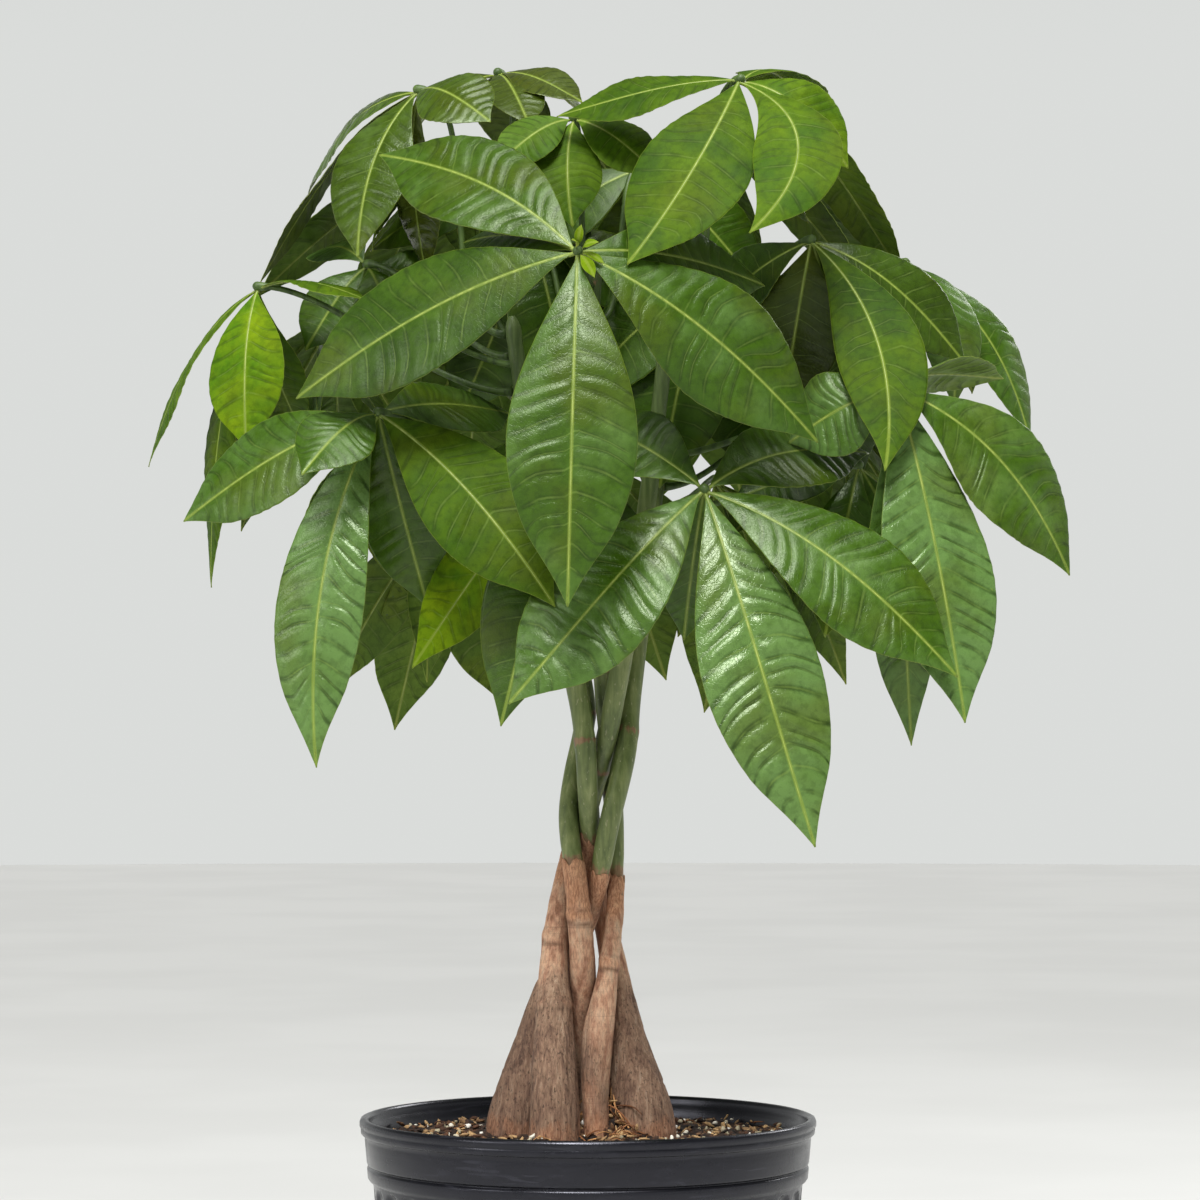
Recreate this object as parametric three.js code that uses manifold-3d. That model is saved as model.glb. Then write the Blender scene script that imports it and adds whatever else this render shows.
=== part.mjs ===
// A money tree: five plaited stems with a dome of palmate leaves, in a round nursery pot.
// Millimetres, +Z up. The origin is the middle of the pot's base, and the photo's camera looks along +Y.
import * as THREE from 'three';
import { mergeVertices } from 'three/addons/utils/BufferGeometryUtils.js';
import Module from 'manifold-3d';

const wasm = await Module();
wasm.setup();

// ---- driving dimensions ----
const RIM_RADIUS = 127;
const POT_HEIGHT = 238;
const BASE_RADIUS = 104;
const WALL = 2.4;
const FLUTE_DEPTH = 1.8;
const POT_SIDES = 44; // two to a flute
const SOIL_SIDES = 22;
const DRAIN_HOLES = 6;
const DRAIN_RADIUS = 6;
const SOIL_TOP = 226;
const SEAT = 0.3;
const STEM_FOOT = 176;
const STEM_SIDES = 8;
const PLAIT_HALF_WIDTH = 13.3;
const PLAIT_HALF_DEPTH = 11.8;
const PLAIT_PITCH = 425;
const PLAIT_LOW = 400;
const PLAIT_HIGH = 464;
const EASE = 7;
const STALK_RADIUS = 1.7;
const STALK_SIDES = 5;
const HUB_RADIUS = 4;
const ROOT_OUT = 2.7; // where a blade starts, out from the middle of its hub
const BLADE_THICKNESS = 0.8;
const CLEARANCE = 0.6;

// ---- helpers ----
const vec = (x, y, z) => new THREE.Vector3(x, y, z);
const lerp = (a, b, t) => a + (b - a) * t;
const clamp01 = (t) => Math.min(1, Math.max(0, t));
const smooth = (t) => clamp01(t) * clamp01(t) * (3 - 2 * clamp01(t));
const radians = (degrees) => (degrees * Math.PI) / 180;

// A value read off a list of [position, value] pairs, straight between them.
function along(pairs, at) {
  let k = 1;
  while (k < pairs.length - 1 && at > pairs[k][0]) k += 1;
  const [a, b] = [pairs[k - 1], pairs[k]];
  return lerp(a[1], b[1], clamp01((at - a[0]) / (b[0] - a[0])));
}

function geometryOf(points, triangles) {
  const geometry = new THREE.BufferGeometry();
  const flat = points.flatMap((p) => [p.x, p.y, p.z]);
  geometry.setAttribute('position', new THREE.Float32BufferAttribute(flat, 3));
  geometry.setIndex(triangles.flat());
  return geometry;
}

function solidOf(geometry) {
  const bare = geometry.clone();
  bare.deleteAttribute('normal');
  bare.deleteAttribute('uv');
  const merged = mergeVertices(bare, 1e-4);
  return new wasm.Manifold(
    new wasm.Mesh({
      numProp: 3,
      vertProperties: merged.attributes.position.array,
      triVerts: new Uint32Array(merged.index.array),
    }),
  );
}

function meshOf(name, solid, material) {
  const made = solid.getMesh();
  const geometry = new THREE.BufferGeometry();
  geometry.setAttribute('position', new THREE.BufferAttribute(made.vertProperties, made.numProp));
  geometry.setIndex(new THREE.BufferAttribute(made.triVerts, 1));
  const flat = geometry.toNonIndexed();
  flat.computeVertexNormals();
  const mesh = new THREE.Mesh(flat, material.clone());
  mesh.name = name;
  return mesh;
}

// The outer shell of a solid, with any hollow that the joined blades seal between them filled.
function filled(solid) {
  const { vertProperties, triVerts } = solid.getMesh();
  const group = Array.from({ length: vertProperties.length / 3 }, (_, k) => k);
  const rootOf = (k) => {
    let root = k;
    while (group[root] !== root) root = group[root];
    group[k] = root;
    return root;
  };
  for (let k = 0; k < triVerts.length; k += 3) {
    group[rootOf(triVerts[k + 1])] = rootOf(triVerts[k]);
    group[rootOf(triVerts[k + 2])] = rootOf(triVerts[k]);
  }
  const shells = new Map();
  for (let k = 0; k < triVerts.length; k += 3) {
    const shell = rootOf(triVerts[k]);
    if (!shells.has(shell)) shells.set(shell, []);
    shells.get(shell).push(triVerts[k], triVerts[k + 1], triVerts[k + 2]);
  }
  const corner = (k) => vec(...vertProperties.slice(3 * k, 3 * k + 3));
  const size = (shell) => {
    let sum = 0;
    for (let k = 0; k < shell.length; k += 3) {
      sum += corner(shell[k]).dot(corner(shell[k + 1]).cross(corner(shell[k + 2])));
    }
    return sum;
  };
  const outer = [...shells.values()].filter((shell) => size(shell) > 0).flat();
  return new wasm.Manifold(
    new wasm.Mesh({ numProp: 3, vertProperties, triVerts: new Uint32Array(outer) }),
  );
}

// A closed tube of rings of points, each ring given anticlockwise as seen from its far end.
function ringedSolid(rings) {
  const sides = rings[0].length;
  const points = rings.flat();
  const triangles = [];
  for (let k = 0; k < rings.length - 1; k += 1) {
    for (let j = 0; j < sides; j += 1) {
      const a = k * sides + j;
      const b = k * sides + ((j + 1) % sides);
      triangles.push([a, b, b + sides], [a, b + sides, a + sides]);
    }
  }
  const first = points.push(centreOf(rings[0])) - 1;
  const last = points.push(centreOf(rings[rings.length - 1])) - 1;
  const top = (rings.length - 1) * sides;
  for (let j = 0; j < sides; j += 1) {
    const next = (j + 1) % sides;
    triangles.push([first, next, j], [last, top + j, top + next]);
  }
  return solidOf(geometryOf(points, triangles));
}

function centreOf(ring) {
  const sum = ring.reduce((total, p) => total.add(p), vec(0, 0, 0));
  return sum.divideScalar(ring.length);
}

// A ring of points round a place, square to a direction. The first point lies toward `reference`.
function ringAround(place, direction, radius, sides, reference) {
  const t = direction.clone().normalize();
  const u = reference.clone().addScaledVector(t, -reference.dot(t)).normalize();
  const v = t.clone().cross(u);
  return Array.from({ length: sides }, (_, j) => {
    const angle = (2 * Math.PI * j) / sides;
    return place.clone()
      .addScaledVector(u, radius * Math.cos(angle))
      .addScaledVector(v, radius * Math.sin(angle));
  });
}

// ---- the pot ----
// The outside from the base up to the lip, then the inside back down: radius, height and depth of flutes.
const POT_PROFILE = [
  [BASE_RADIUS - 3, 0, 0],
  [BASE_RADIUS, 4, 0],
  [BASE_RADIUS + 0.7, 14, 0],
  [BASE_RADIUS + 1.3, 22, 1],
  [118.4, POT_HEIGHT - 50, 1],
  [119.3, POT_HEIGHT - 37, 0],
  [120.9, POT_HEIGHT - 34.5, 0],
  [122.8, POT_HEIGHT - 27.6, 0],
  [121.7, POT_HEIGHT - 26.4, 0],
  [122.8, POT_HEIGHT - 25, 0],
  [124.4, POT_HEIGHT - 9.4, 0],
  [RIM_RADIUS, POT_HEIGHT - 8.2, 0],
  [RIM_RADIUS, POT_HEIGHT - 1.6, 0],
  [RIM_RADIUS - 1.6, POT_HEIGHT, 0],
  [RIM_RADIUS - 4.6, POT_HEIGHT - 0.6, 0],
  [121.4, POT_HEIGHT - 8, 0],
  [120, POT_HEIGHT - 24, 0],
  [117.4, POT_HEIGHT - 27, 0],
  [BASE_RADIUS - WALL, 6, 0],
  [BASE_RADIUS - WALL - 3, WALL, 0],
];

function flutedRing([radius, height, fluted]) {
  return Array.from({ length: POT_SIDES }, (_, j) => {
    const angle = (2 * Math.PI * j) / POT_SIDES;
    const r = radius - fluted * FLUTE_DEPTH * (j % 2);
    return vec(r * Math.cos(angle), r * Math.sin(angle), height);
  });
}

function makePot() {
  let pot = ringedSolid(POT_PROFILE.map(flutedRing));
  for (let k = 0; k < DRAIN_HOLES; k += 1) {
    const angle = (2 * Math.PI * (k + 0.5)) / DRAIN_HOLES;
    const hole = new THREE.CylinderGeometry(DRAIN_RADIUS, DRAIN_RADIUS, 24, 8);
    hole.rotateZ(Math.PI / 2);
    hole.translate(BASE_RADIUS, 0, WALL + 7);
    hole.rotateZ(angle);
    pot = pot.subtract(solidOf(hole));
  }
  return pot;
}

// ---- the stems ----
// Each stem: its phase in the plait at PLAIT_PHASE_HEIGHT, where it stands in the soil, where its tip is,
// the height where bark gives way to green skin, and its radius by height.
const PLAIT_PHASE_HEIGHT = 447;
const STEMS = [
  {
    name: 'back_left',
    phase: 95,
    tip: [46, 34, 690],
    split: 374,
    low: [
      [234, -41, 9], [250, -35.5, 10.5], [278, -29, 13.5], [297, -24.5, 14], [319, -17, 13.4],
      [336, -5, 8.5], [353, 2.3, 1.1], [370, 6.2, -4], [385, 8.6, -9],
    ],
    radii: [
      [226, 16.6], [250, 15.2], [278, 12.2], [297, 10.5], [319, 9], [336, 6.9],
      [353, 6], [385, 5.8], [480, 5.9], [690, 4],
    ],
  },
  {
    name: 'front_left',
    phase: 167,
    tip: [44, -32, 676],
    split: 384,
    low: [
      [234, -18.5, -21], [250, -18.5, -19.5], [278, -18.8, -15.5], [297, -19, -11], [319, -19, -5],
      [336, -18, -1], [353, -16.5, 1], [370, -12.6, 4.8], [385, -9.2, 9.6],
    ],
    radii: [
      [226, 14.8], [250, 13.6], [278, 12.1], [297, 10.2], [319, 8.4], [336, 7.2],
      [353, 6.5], [372, 6], [480, 5.9], [676, 4],
    ],
  },
  {
    name: 'middle',
    phase: 239,
    tip: [-38, 38, 700],
    split: 379,
    low: [
      [234, -2, 23], [250, -2, 19], [278, -3, 9], [297, -2.5, 1], [319, -2.5, -8.5],
      [336, -3.5, -10.5], [353, -4.8, -10.8], [370, -6.8, -9.2], [385, -8.8, -6.2],
    ],
    radii: [
      [226, 10], [250, 9.6], [278, 8.4], [297, 7.4], [319, 7.3], [353, 6.9],
      [372, 6.6], [385, 5.8], [480, 5.9], [700, 4],
    ],
  },
  {
    name: 'right',
    phase: 311,
    tip: [-42, -26, 682],
    split: 393,
    low: [
      [234, 31.5, 0], [250, 28, 1], [278, 21.7, 4.5], [297, 18.5, 7.5], [319, 14.5, 10],
      [336, 11.5, 13], [353, 7, 14], [370, 1.2, 11.4], [385, 2.3, 3.6],
    ],
    radii: [
      [226, 18.2], [250, 16.8], [278, 12], [297, 9.3], [319, 7.6], [336, 6.6],
      [353, 6.2], [385, 5.9], [480, 5.9], [682, 4],
    ],
  },
  {
    name: 'front_middle',
    phase: 23,
    tip: [2, -4, 728],
    split: 373,
    low: [
      [234, 5, -15], [250, 3.8, -14], [278, 4.2, -13], [297, 7.8, -13], [319, 11.3, -11],
      [336, 13.5, -8], [353, 15.5, -3], [370, 15.3, 4], [385, 14.8, 7],
    ],
    radii: [
      [226, 7.4], [250, 7.4], [278, 9.4], [297, 8], [319, 5.6], [336, 5.4],
      [372, 5.1], [400, 5.5], [480, 5.9], [728, 4],
    ],
  },
];

// The middle of the plait leans a little to one side as it rises.
const PLAIT_LEAN = [[226, 0], [369, -0.5], [414, 4], [447, 8], [486, 9], [720, 5]];

function plaited(stem, height) {
  const phase = radians(stem.phase) + (2 * Math.PI * (PLAIT_PHASE_HEIGHT - height)) / PLAIT_PITCH;
  const across = Math.sin(phase) - 0.08 * Math.sin(3 * phase);
  const x = along(PLAIT_LEAN, height) + PLAIT_HALF_WIDTH * across;
  return vec(x, PLAIT_HALF_DEPTH * Math.sin(2 * phase), height);
}

// The middle of a stem before its corners are eased.
function stemLine(stem, height) {
  if (height < PLAIT_LOW) {
    const joined = [...stem.low, [PLAIT_LOW, ...plaited(stem, PLAIT_LOW).toArray()]];
    const x = along(joined.map((p) => [p[0], p[1]]), height);
    return vec(x, along(joined.map((p) => [p[0], p[2]]), height), height);
  }
  if (height > PLAIT_HIGH) {
    const start = plaited(stem, PLAIT_HIGH);
    const [x, y, z] = stem.tip;
    const t = (height - PLAIT_HIGH) / (z - PLAIT_HIGH);
    const spread = t * (1.35 - 0.35 * t);
    return vec(lerp(start.x, x, spread), lerp(start.y, y, spread), height);
  }
  return plaited(stem, height);
}

function stemAt(stem, height) {
  const below = stemLine(stem, height - EASE);
  const above = stemLine(stem, height + EASE);
  return stemLine(stem, height).multiplyScalar(2).add(below).add(above).divideScalar(4);
}

const stemRadius = (stem, height) => along(stem.radii, height);

function stemRing(stem, height, extra = 0) {
  const ahead = stemAt(stem, height + 2);
  const behind = stemAt(stem, height - 2);
  const upright = height <= SOIL_TOP + 1;
  const direction = upright ? vec(0, 0, 1) : ahead.sub(behind);
  const radius = stemRadius(stem, height) + extra;
  return ringAround(stemAt(stem, height), direction, radius, STEM_SIDES, vec(1, 0, 0));
}

function makeBark(stem, extra = 0) {
  const heights = [STEM_FOOT, SOIL_TOP, 236, 250, 264, 278, 297, 308, 319, 336, 353, stem.split];
  const rings = heights.map((h) => stemRing(stem, h, extra));
  const flatTop = rings.length - 1;
  rings[flatTop] = rings[flatTop].map((p) => vec(p.x, p.y, stem.split));
  return ringedSolid(rings);
}

function makeGreen(stem) {
  const top = stem.tip[2];
  const heights = [stem.split + SEAT, 400, 418, 436, 454, 474, 500, 545, 590, 635, top - 6];
  const rings = heights.map((h) => stemRing(stem, h));
  rings[0] = rings[0].map((p) => vec(p.x, p.y, stem.split + SEAT));
  rings.push(ringAround(stemAt(stem, top), vec(0, 0, 1), 1.6, STEM_SIDES, vec(1, 0, 0)));
  return ringedSolid(rings);
}

// ---- the soil ----
// Lumpy, with a heap of bark fibres caught between the stems.
function soilHeight(x, y) {
  const heap = 22 * Math.exp(-((x - 12) ** 2 + (y + 2) ** 2) / 260);
  const coarse = 1.5 * Math.sin(0.083 * x + 1.3) * Math.cos(0.071 * y - 0.4);
  const fine = 1.1 * Math.sin(0.19 * x - 0.16 * y) + 0.8 * Math.cos(0.23 * y + 0.11 * x);
  return SOIL_TOP + coarse + fine + heap;
}

function makeSoil() {
  const level = (radius, z) => ringAround(vec(0, 0, z), vec(0, 0, 1), radius, SOIL_SIDES, vec(1, 0, 0));
  const inside = BASE_RADIUS - WALL - SEAT - 0.2;
  const rings = [
    level(inside - 3, WALL + SEAT),
    level(inside, 6),
    level(116.8, POT_HEIGHT - 27.6),
    level(119.5, POT_HEIGHT - 23),
    level(119.8, SOIL_TOP - 3),
  ];
  for (const radius of [106, 84, 60, 36, 22, 10]) {
    rings.push(level(radius, 0).map((p) => vec(p.x, p.y, soilHeight(p.x, p.y))));
  }
  let soil = ringedSolid(rings);
  for (const stem of STEMS) {
    const floor = ringAround(vec(stem.low[0][1], stem.low[0][2], STEM_FOOT - SEAT), vec(0, 0, 1),
      stemRadius(stem, SOIL_TOP) + 0.5, STEM_SIDES, vec(1, 0, 0));
    const mouth = floor.map((p) => vec(p.x, p.y, POT_HEIGHT));
    soil = soil.subtract(ringedSolid([floor, mouth])).subtract(makeBark(stem, SEAT + 0.1));
  }
  return soil;
}

// ---- leaf blades ----
// Where a blade's rows of points lie from its root to its tip, and the share of its width that it has there.
const STATIONS = [0, 0.13, 0.35, 0.6, 0.84, 1];
const FOLDED_BLADE = { folded: true, stations: STATIONS };
const PLAIN_BLADE = { folded: false, stations: STATIONS };
const bladeShare = (u) => Math.max(0.03, Math.sin(Math.PI * Math.min(1, u) ** 1.15) ** 0.95);

// The frame of a blade: its chord from root to tip, its upper side and its own left-right axis.
function bladeFrame(root, tip, face) {
  const chord = tip.clone().sub(root);
  const length = chord.length();
  chord.normalize();
  const upper = face.clone().addScaledVector(chord, -face.dot(chord)).normalize();
  return { root, chord, length, upper, side: chord.clone().cross(upper) };
}

function midrib(frame, arch, bow, u) {
  const swell = 4 * u * (1 - u);
  return frame.root.clone()
    .addScaledVector(frame.chord, frame.length * u)
    .addScaledVector(frame.upper, arch * swell * (1.3 - 0.6 * u))
    .addScaledVector(frame.side, bow * swell);
}

// A closed blade: a thin strip that ends in a point. Folded along its midrib it has three points across, and
// otherwise two.
function makeBlade(frame, arch, bow, width, thickness, pattern) {
  const rows = pattern.stations.map((u) => {
    const place = midrib(frame, arch, bow, u);
    const tangent = midrib(frame, arch, bow, u + 0.01).sub(midrib(frame, arch, bow, u - 0.01)).normalize();
    const side = frame.side.clone().addScaledVector(tangent, -frame.side.dot(tangent)).normalize();
    const up = side.clone().cross(tangent);
    const half = (width / 2) * bladeShare(u);
    const wave = 0.07 * half * Math.sin(9 * u + frame.length);
    const left = place.clone().addScaledVector(side, -half).addScaledVector(up, wave - 0.09 * half);
    const right = place.clone().addScaledVector(side, half).addScaledVector(up, -wave - 0.09 * half);
    const across = pattern.folded ? [left, place, right] : [left, right];
    return { across: u < 1 ? across : [place], up };
  });
  const points = [];
  for (const lift of [thickness / 2, -thickness / 2]) {
    for (const { across, up } of rows) {
      points.push(...across.map((p) => p.clone().addScaledVector(up, lift)));
    }
  }
  const under = points.length / 2;
  const columns = pattern.folded ? 3 : 2;
  const last = rows.length - 2;
  const tip = under - 1;
  const triangles = [];
  const facing = (a, b, c) => triangles.push([a, b, c], [a + under, c + under, b + under]);
  const edge = (a, b) => triangles.push([a, a + under, b], [b, a + under, b + under]);
  for (let k = 0; k <= last; k += 1) {
    const start = columns * k;
    const end = start + columns - 1;
    for (let a = start; a < end; a += 1) {
      if (k === last) facing(a, a + 1, tip);
      else {
        facing(a, a + 1, a + columns);
        facing(a + 1, a + 1 + columns, a + columns);
      }
    }
    edge(k === last ? tip : start + columns, start);
    edge(end, k === last ? tip : end + columns);
  }
  for (let a = 0; a < columns - 1; a += 1) edge(a, a + 1);
  return solidOf(geometryOf(points, triangles));
}

// ---- the leaves ----
// Leaves placed one by one: the hub, the stem and the height where the stalk leaves it, the way the
// leaf faces, and the blades. A blade has its tip from the hub, its width, how far it arches up, how
// far it bows sideways, and a facing of its own where it turns away from the rest.
const FRONT = [0, -1, 0.9];
const LEAVES = [
  {
    name: 'leaf_front_centre', hub: [-5, -150, 705], stem: 4, from: 610,
    face: [0, -1, 0.5], depth: [0, 1, 0],
    blades: [
      [-5, -35, -187, 68, 12, 0],
      [-151, 50, -74, 68, 10, 4],
      [127, 25, -99, 67, 10, -5],
      [-108, 75, 60, 62, 8, 7],
      [101, 75, -11, 52, 10, 0],
      [-63, 90, 14, 40, 8, 0],
    ],
  },
  {
    name: 'leaf_top_right', hub: [83, -70, 807], stem: 1, from: 668, face: FRONT, depth: [0, 1, 0],
    blades: [
      [-62, -80, -109, 62, 8, -7],
      [2, -75, -92, 48, 8, -28],
      [58, -10, -50, 48, 12, 0],
      [96, 80, -103, 58, 14, -8, [0.9, 0.55, 0.6]],
      [-100, 10, -19, 42, 6, -4, [0, -0.7, 1]],
      [43, 90, -6, 50, 12, 0, [0.2, 0.2, 1]],
    ],
  },
  {
    name: 'leaf_low_centre', hub: [62, -118, 582], stem: 1, from: 556, face: [0, -1, 0.75], depth: [0, 1, 0],
    blades: [
      [56, -50, -188, 64, 12, 2],
      [-103, -35, -114, 68, 10, -2],
      [132, -25, -100, 64, 12, -5],
      [-10, 50, -80, 34, 4, 0],
      [91, 56, 22, 54, 8, -6, [0, -1, 0.8]],
      [-72, 60, 45, 50, 6, 0],
    ],
  },
  {
    name: 'leaf_right', hub: [166, -95, 638], stem: 1, from: 604, face: [0.25, -1, 0.6], depth: [0, 1, 0],
    blades: [
      [33, -35, -180, 62, 10, -2],
      [94, 15, -101, 60, 10, -10],
      [64, 74, 10, 50, 8, -6, [0.2, 0.8, 1]],
      [10, 35, -193, 42, 6, 3],
      [-58, 55, -30, 50, 8, 0],
    ],
  },
  {
    name: 'leaf_left', hub: [-113, -85, 625], stem: 3, from: 590, face: [-0.2, -1, 0.6], depth: [0, 1, 0],
    blades: [
      [96, -50, -106, 60, 10, -5],
      [-107, 25, -58, 56, 10, 0],
      [-31, -25, -191, 50, 10, 11],
      [26, 30, -105, 46, 6, 0],
      [-38, -40, -36, 44, 8, 0],
      [70, 75, 4, 48, 6, 0],
    ],
  },
  {
    name: 'leaf_far_left', hub: [-185, 0, 701], stem: 3, from: 640, face: [-0.5, -1, 0.9], depth: [0, 1, 0],
    blades: [
      [-3, -35, -94, 48, 8, 0],
      [-63, 20, -100, 38, 10, 4, [-1, -0.35, 0.8]],
      [64, -45, -12, 36, 6, 0, [0, -0.1, 1]],
      [-28, 25, -168, 40, 8, 3, [-1, -0.6, 0.6]],
      [21, 55, -78, 40, 6, 0],
    ],
  },
  {
    name: 'leaf_top_left', hub: [-95, -10, 810], stem: 3, from: 672, face: [-0.4, -0.6, 0.9],
    depth: [0, 1, 0],
    blades: [
      [-31, -40, -98, 48, 8, 6, [-0.4, -1, 0.8]],
      [-90, 20, -107, 44, 12, 12, [-1, 0.1, 0.8]],
      [42, -50, -25, 44, 8, 0],
      [4, 35, -103, 40, 6, 0],
      [-66, 70, -50, 46, 12, 0],
    ],
  },
  {
    name: 'leaf_crown', hub: [-51, 20, 824], stem: 2, from: 690, face: [0, -0.6, 1], depth: [0, 1, 0],
    pattern: PLAIN_BLADE,
    blades: [
      [19, -55, -38, 32, 6, 0],
      [48, -35, -22, 34, 6, 0],
      [-58, 30, -36, 44, 8, 0],
      [10, 96, -40, 46, 10, 0],
      [68, 52, -36, 44, 10, 0],
    ],
  },
  {
    name: 'leaf_crown_front', hub: [-8, -42, 790], stem: 4, from: 700, face: FRONT, depth: [0, 1, 0],
    blades: [
      [0, -30, -64, 38, 6, 3],
      [-42, -22, -30, 34, 6, 0],
      [46, -18, -34, 36, 6, 0],
      [34, 30, -8, 28, 6, 0],
    ],
  },
  {
    name: 'leaf_inner_right', hub: [123, -40, 723], stem: 0, from: 640, face: FRONT, depth: [0, 1, 0],
    pattern: PLAIN_BLADE,
    blades: [
      [34, -62, -132, 48, 8, -16],
      [-16, 6, -96, 52, 6, 0],
      [30, 34, -128, 56, 8, 0],
      [60, 70, -40, 46, 10, 0, [0.3, -0.2, 1]],
      [-66, 40, -50, 50, 8, 0],
      [86, 6, -70, 48, 10, -4],
    ],
  },
  {
    name: 'leaf_far_right', hub: [181, 45, 719], stem: 0, from: 655, face: [0.6, -1, 0.9], depth: [0, 1, 0],
    blades: [
      [70, -10, -104, 40, 10, -10],
      [24, -40, -86, 42, 8, 0],
      [44, 66, -70, 46, 12, 0, [0.8, 0.4, 1]],
      [-30, 66, -44, 44, 10, 0, [0, 0.4, 1]],
    ],
  },
  {
    name: 'leaf_inner_low', hub: [-8, -84, 602], stem: 4, from: 572, face: FRONT, depth: [0, 1, 0],
    pattern: PLAIN_BLADE,
    blades: [
      [-38, -30, -146, 52, 8, 0],
      [-87, 20, -115, 48, 8, 0],
      [40, -6, -96, 44, 6, 0],
      [-66, 40, -16, 42, 6, 0],
    ],
  },
  {
    name: 'leaf_inner_side', hub: [150, -22, 600], stem: 0, from: 575, face: FRONT, depth: [0, 1, 0],
    pattern: PLAIN_BLADE,
    blades: [
      [-70, -16, -20, 40, 6, 0],
      [-20, -18, -96, 44, 6, 0],
      [50, 4, -110, 44, 8, 0],
      [40, 60, -60, 44, 8, 0, [0.6, 0.2, 1]],
    ],
  },
  {
    name: 'leaf_inner_left', hub: [-125, 25, 716], stem: 3, from: 660, face: FRONT, depth: [0, 1, 0],
    pattern: PLAIN_BLADE,
    blades: [
      [-34, -12, -50, 38, 6, 0],
      [20, -20, -48, 38, 6, 0],
      [50, 6, -10, 40, 8, 0],
      [-30, 44, 12, 38, 8, 0],
    ],
  },
  {
    name: 'leaf_inner_back', hub: [-34, 40, 742], stem: 4, from: 664, face: FRONT, depth: [0, 1, 0],
    pattern: PLAIN_BLADE,
    blades: [
      [-42, -12, -112, 60, 8, 0],
      [26, -18, -112, 54, 8, 0],
      [88, 4, -58, 52, 8, 0],
      [-92, 20, -14, 48, 8, 0],
    ],
  },
  {
    name: 'leaf_inner_middle', hub: [66, 14, 700], stem: 0, from: 612, face: FRONT, depth: [0, 1, 0],
    pattern: PLAIN_BLADE,
    blades: [
      [-26, -12, -112, 56, 8, 0],
      [44, -8, -110, 56, 8, 0],
      [-74, 30, -64, 54, 8, 0],
      [82, 20, -20, 48, 8, 0],
      [20, 70, -10, 48, 8, 0],
    ],
  },
  {
    name: 'leaf_inner_high', hub: [30, 34, 772], stem: 4, from: 682, face: FRONT, depth: [0, 1, 0],
    pattern: PLAIN_BLADE,
    blades: [
      [-18, -14, -108, 56, 8, 0],
      [70, 0, -72, 52, 8, 0],
      [-72, 10, -50, 48, 8, 0],
    ],
  },
];

// Leaves round the back: the hub's azimuth, distance out and height, the blades' length and how far
// they droop.
const BACK_LEAVES = [
  { azimuth: 20, out: 140, up: 640, size: 150, droop: 58, stem: 0, from: 590 },
  { azimuth: 52, out: 120, up: 598, size: 158, droop: 62, stem: 0, from: 556 },
  { azimuth: 88, out: 128, up: 612, size: 156, droop: 60, stem: 2, from: 560 },
  { azimuth: 124, out: 126, up: 592, size: 160, droop: 64, stem: 2, from: 578 },
  { azimuth: 160, out: 132, up: 622, size: 150, droop: 60, stem: 2, from: 600 },
  { azimuth: 68, out: 172, up: 704, size: 150, droop: 52, stem: 0, from: 620 },
  { azimuth: 108, out: 176, up: 712, size: 156, droop: 54, stem: 2, from: 640 },
  { azimuth: 146, out: 170, up: 700, size: 150, droop: 52, stem: 2, from: 660 },
  { azimuth: 40, out: 104, up: 786, size: 138, droop: 40, stem: 0, from: 676 },
  { azimuth: 92, out: 92, up: 796, size: 142, droop: 42, stem: 4, from: 706 },
  { azimuth: 138, out: 100, up: 780, size: 136, droop: 40, stem: 2, from: 674 },
];
// How the blades of such a leaf fan out, as shares of its size.
const FAN = [
  { turn: 0, share: 1, width: 0.37 },
  { turn: 50, share: 0.93, width: 0.36 },
  { turn: -50, share: 0.9, width: 0.36 },
  { turn: 104, share: 0.74, width: 0.35 },
  { turn: -102, share: 0.7, width: 0.35 },
  { turn: 172, share: 0.62, width: 0.4 },
];

function backLeaf({ azimuth, out, up, size, droop, stem, from }, index) {
  const hub = [out * Math.cos(radians(azimuth)), out * Math.sin(radians(azimuth)), up];
  const outward = [Math.cos(radians(azimuth)), Math.sin(radians(azimuth)), 0.9];
  const blades = FAN.map(({ turn, share, width }, k) => {
    const heading = radians(azimuth + turn + 7 * Math.sin(3 * index + 2 * k));
    const fall = radians(droop + 9 * Math.sin(2 * index + 5 * k));
    const reach = size * share * Math.cos(fall);
    const drop = -size * share * Math.sin(fall);
    const [x, y] = [reach * Math.cos(heading), reach * Math.sin(heading)];
    return [x, y, drop, size * share * width, 11, 3 * Math.sin(index + k)];
  });
  const depth = [Math.cos(radians(azimuth)), Math.sin(radians(azimuth)), 0];
  const name = `leaf_back_${index + 1}`;
  return { name, pattern: PLAIN_BLADE, hub, stem, from, face: outward, depth, blades };
}

const ALL_LEAVES = [...LEAVES, ...BACK_LEAVES.map(backLeaf)];

// ---- growing the leaves so that none crosses another ----
// Where a stalk's rings lie along it, and how thick it is there: swollen at its foot.
const STALK_STATIONS = [[0, 1.5], [0.08, 1.1], [0.32, 1], [0.62, 0.95], [0.94, 0.95]];

// A stalk leaves its stem square to it and arches up and out to the hub.
function stalkPath(leaf, sideways, rise) {
  const stem = STEMS[leaf.stem];
  const axis = stemAt(stem, leaf.from);
  const hub = vec(...leaf.hub);
  const out = vec(hub.x - axis.x, hub.y - axis.y, 0).normalize();
  const across = vec(-out.y, out.x, 0);
  const start = axis.clone().addScaledVector(out, stemRadius(stem, leaf.from) + SEAT + 0.25);
  const span = start.distanceTo(hub);
  const first = start.clone().addScaledVector(out, 0.3 * span).addScaledVector(across, sideways);
  const second = hub.clone().addScaledVector(out, -0.28 * span).addScaledVector(across, sideways);
  second.z += rise;
  return new THREE.CubicBezierCurve3(start, first, second, hub);
}

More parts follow.
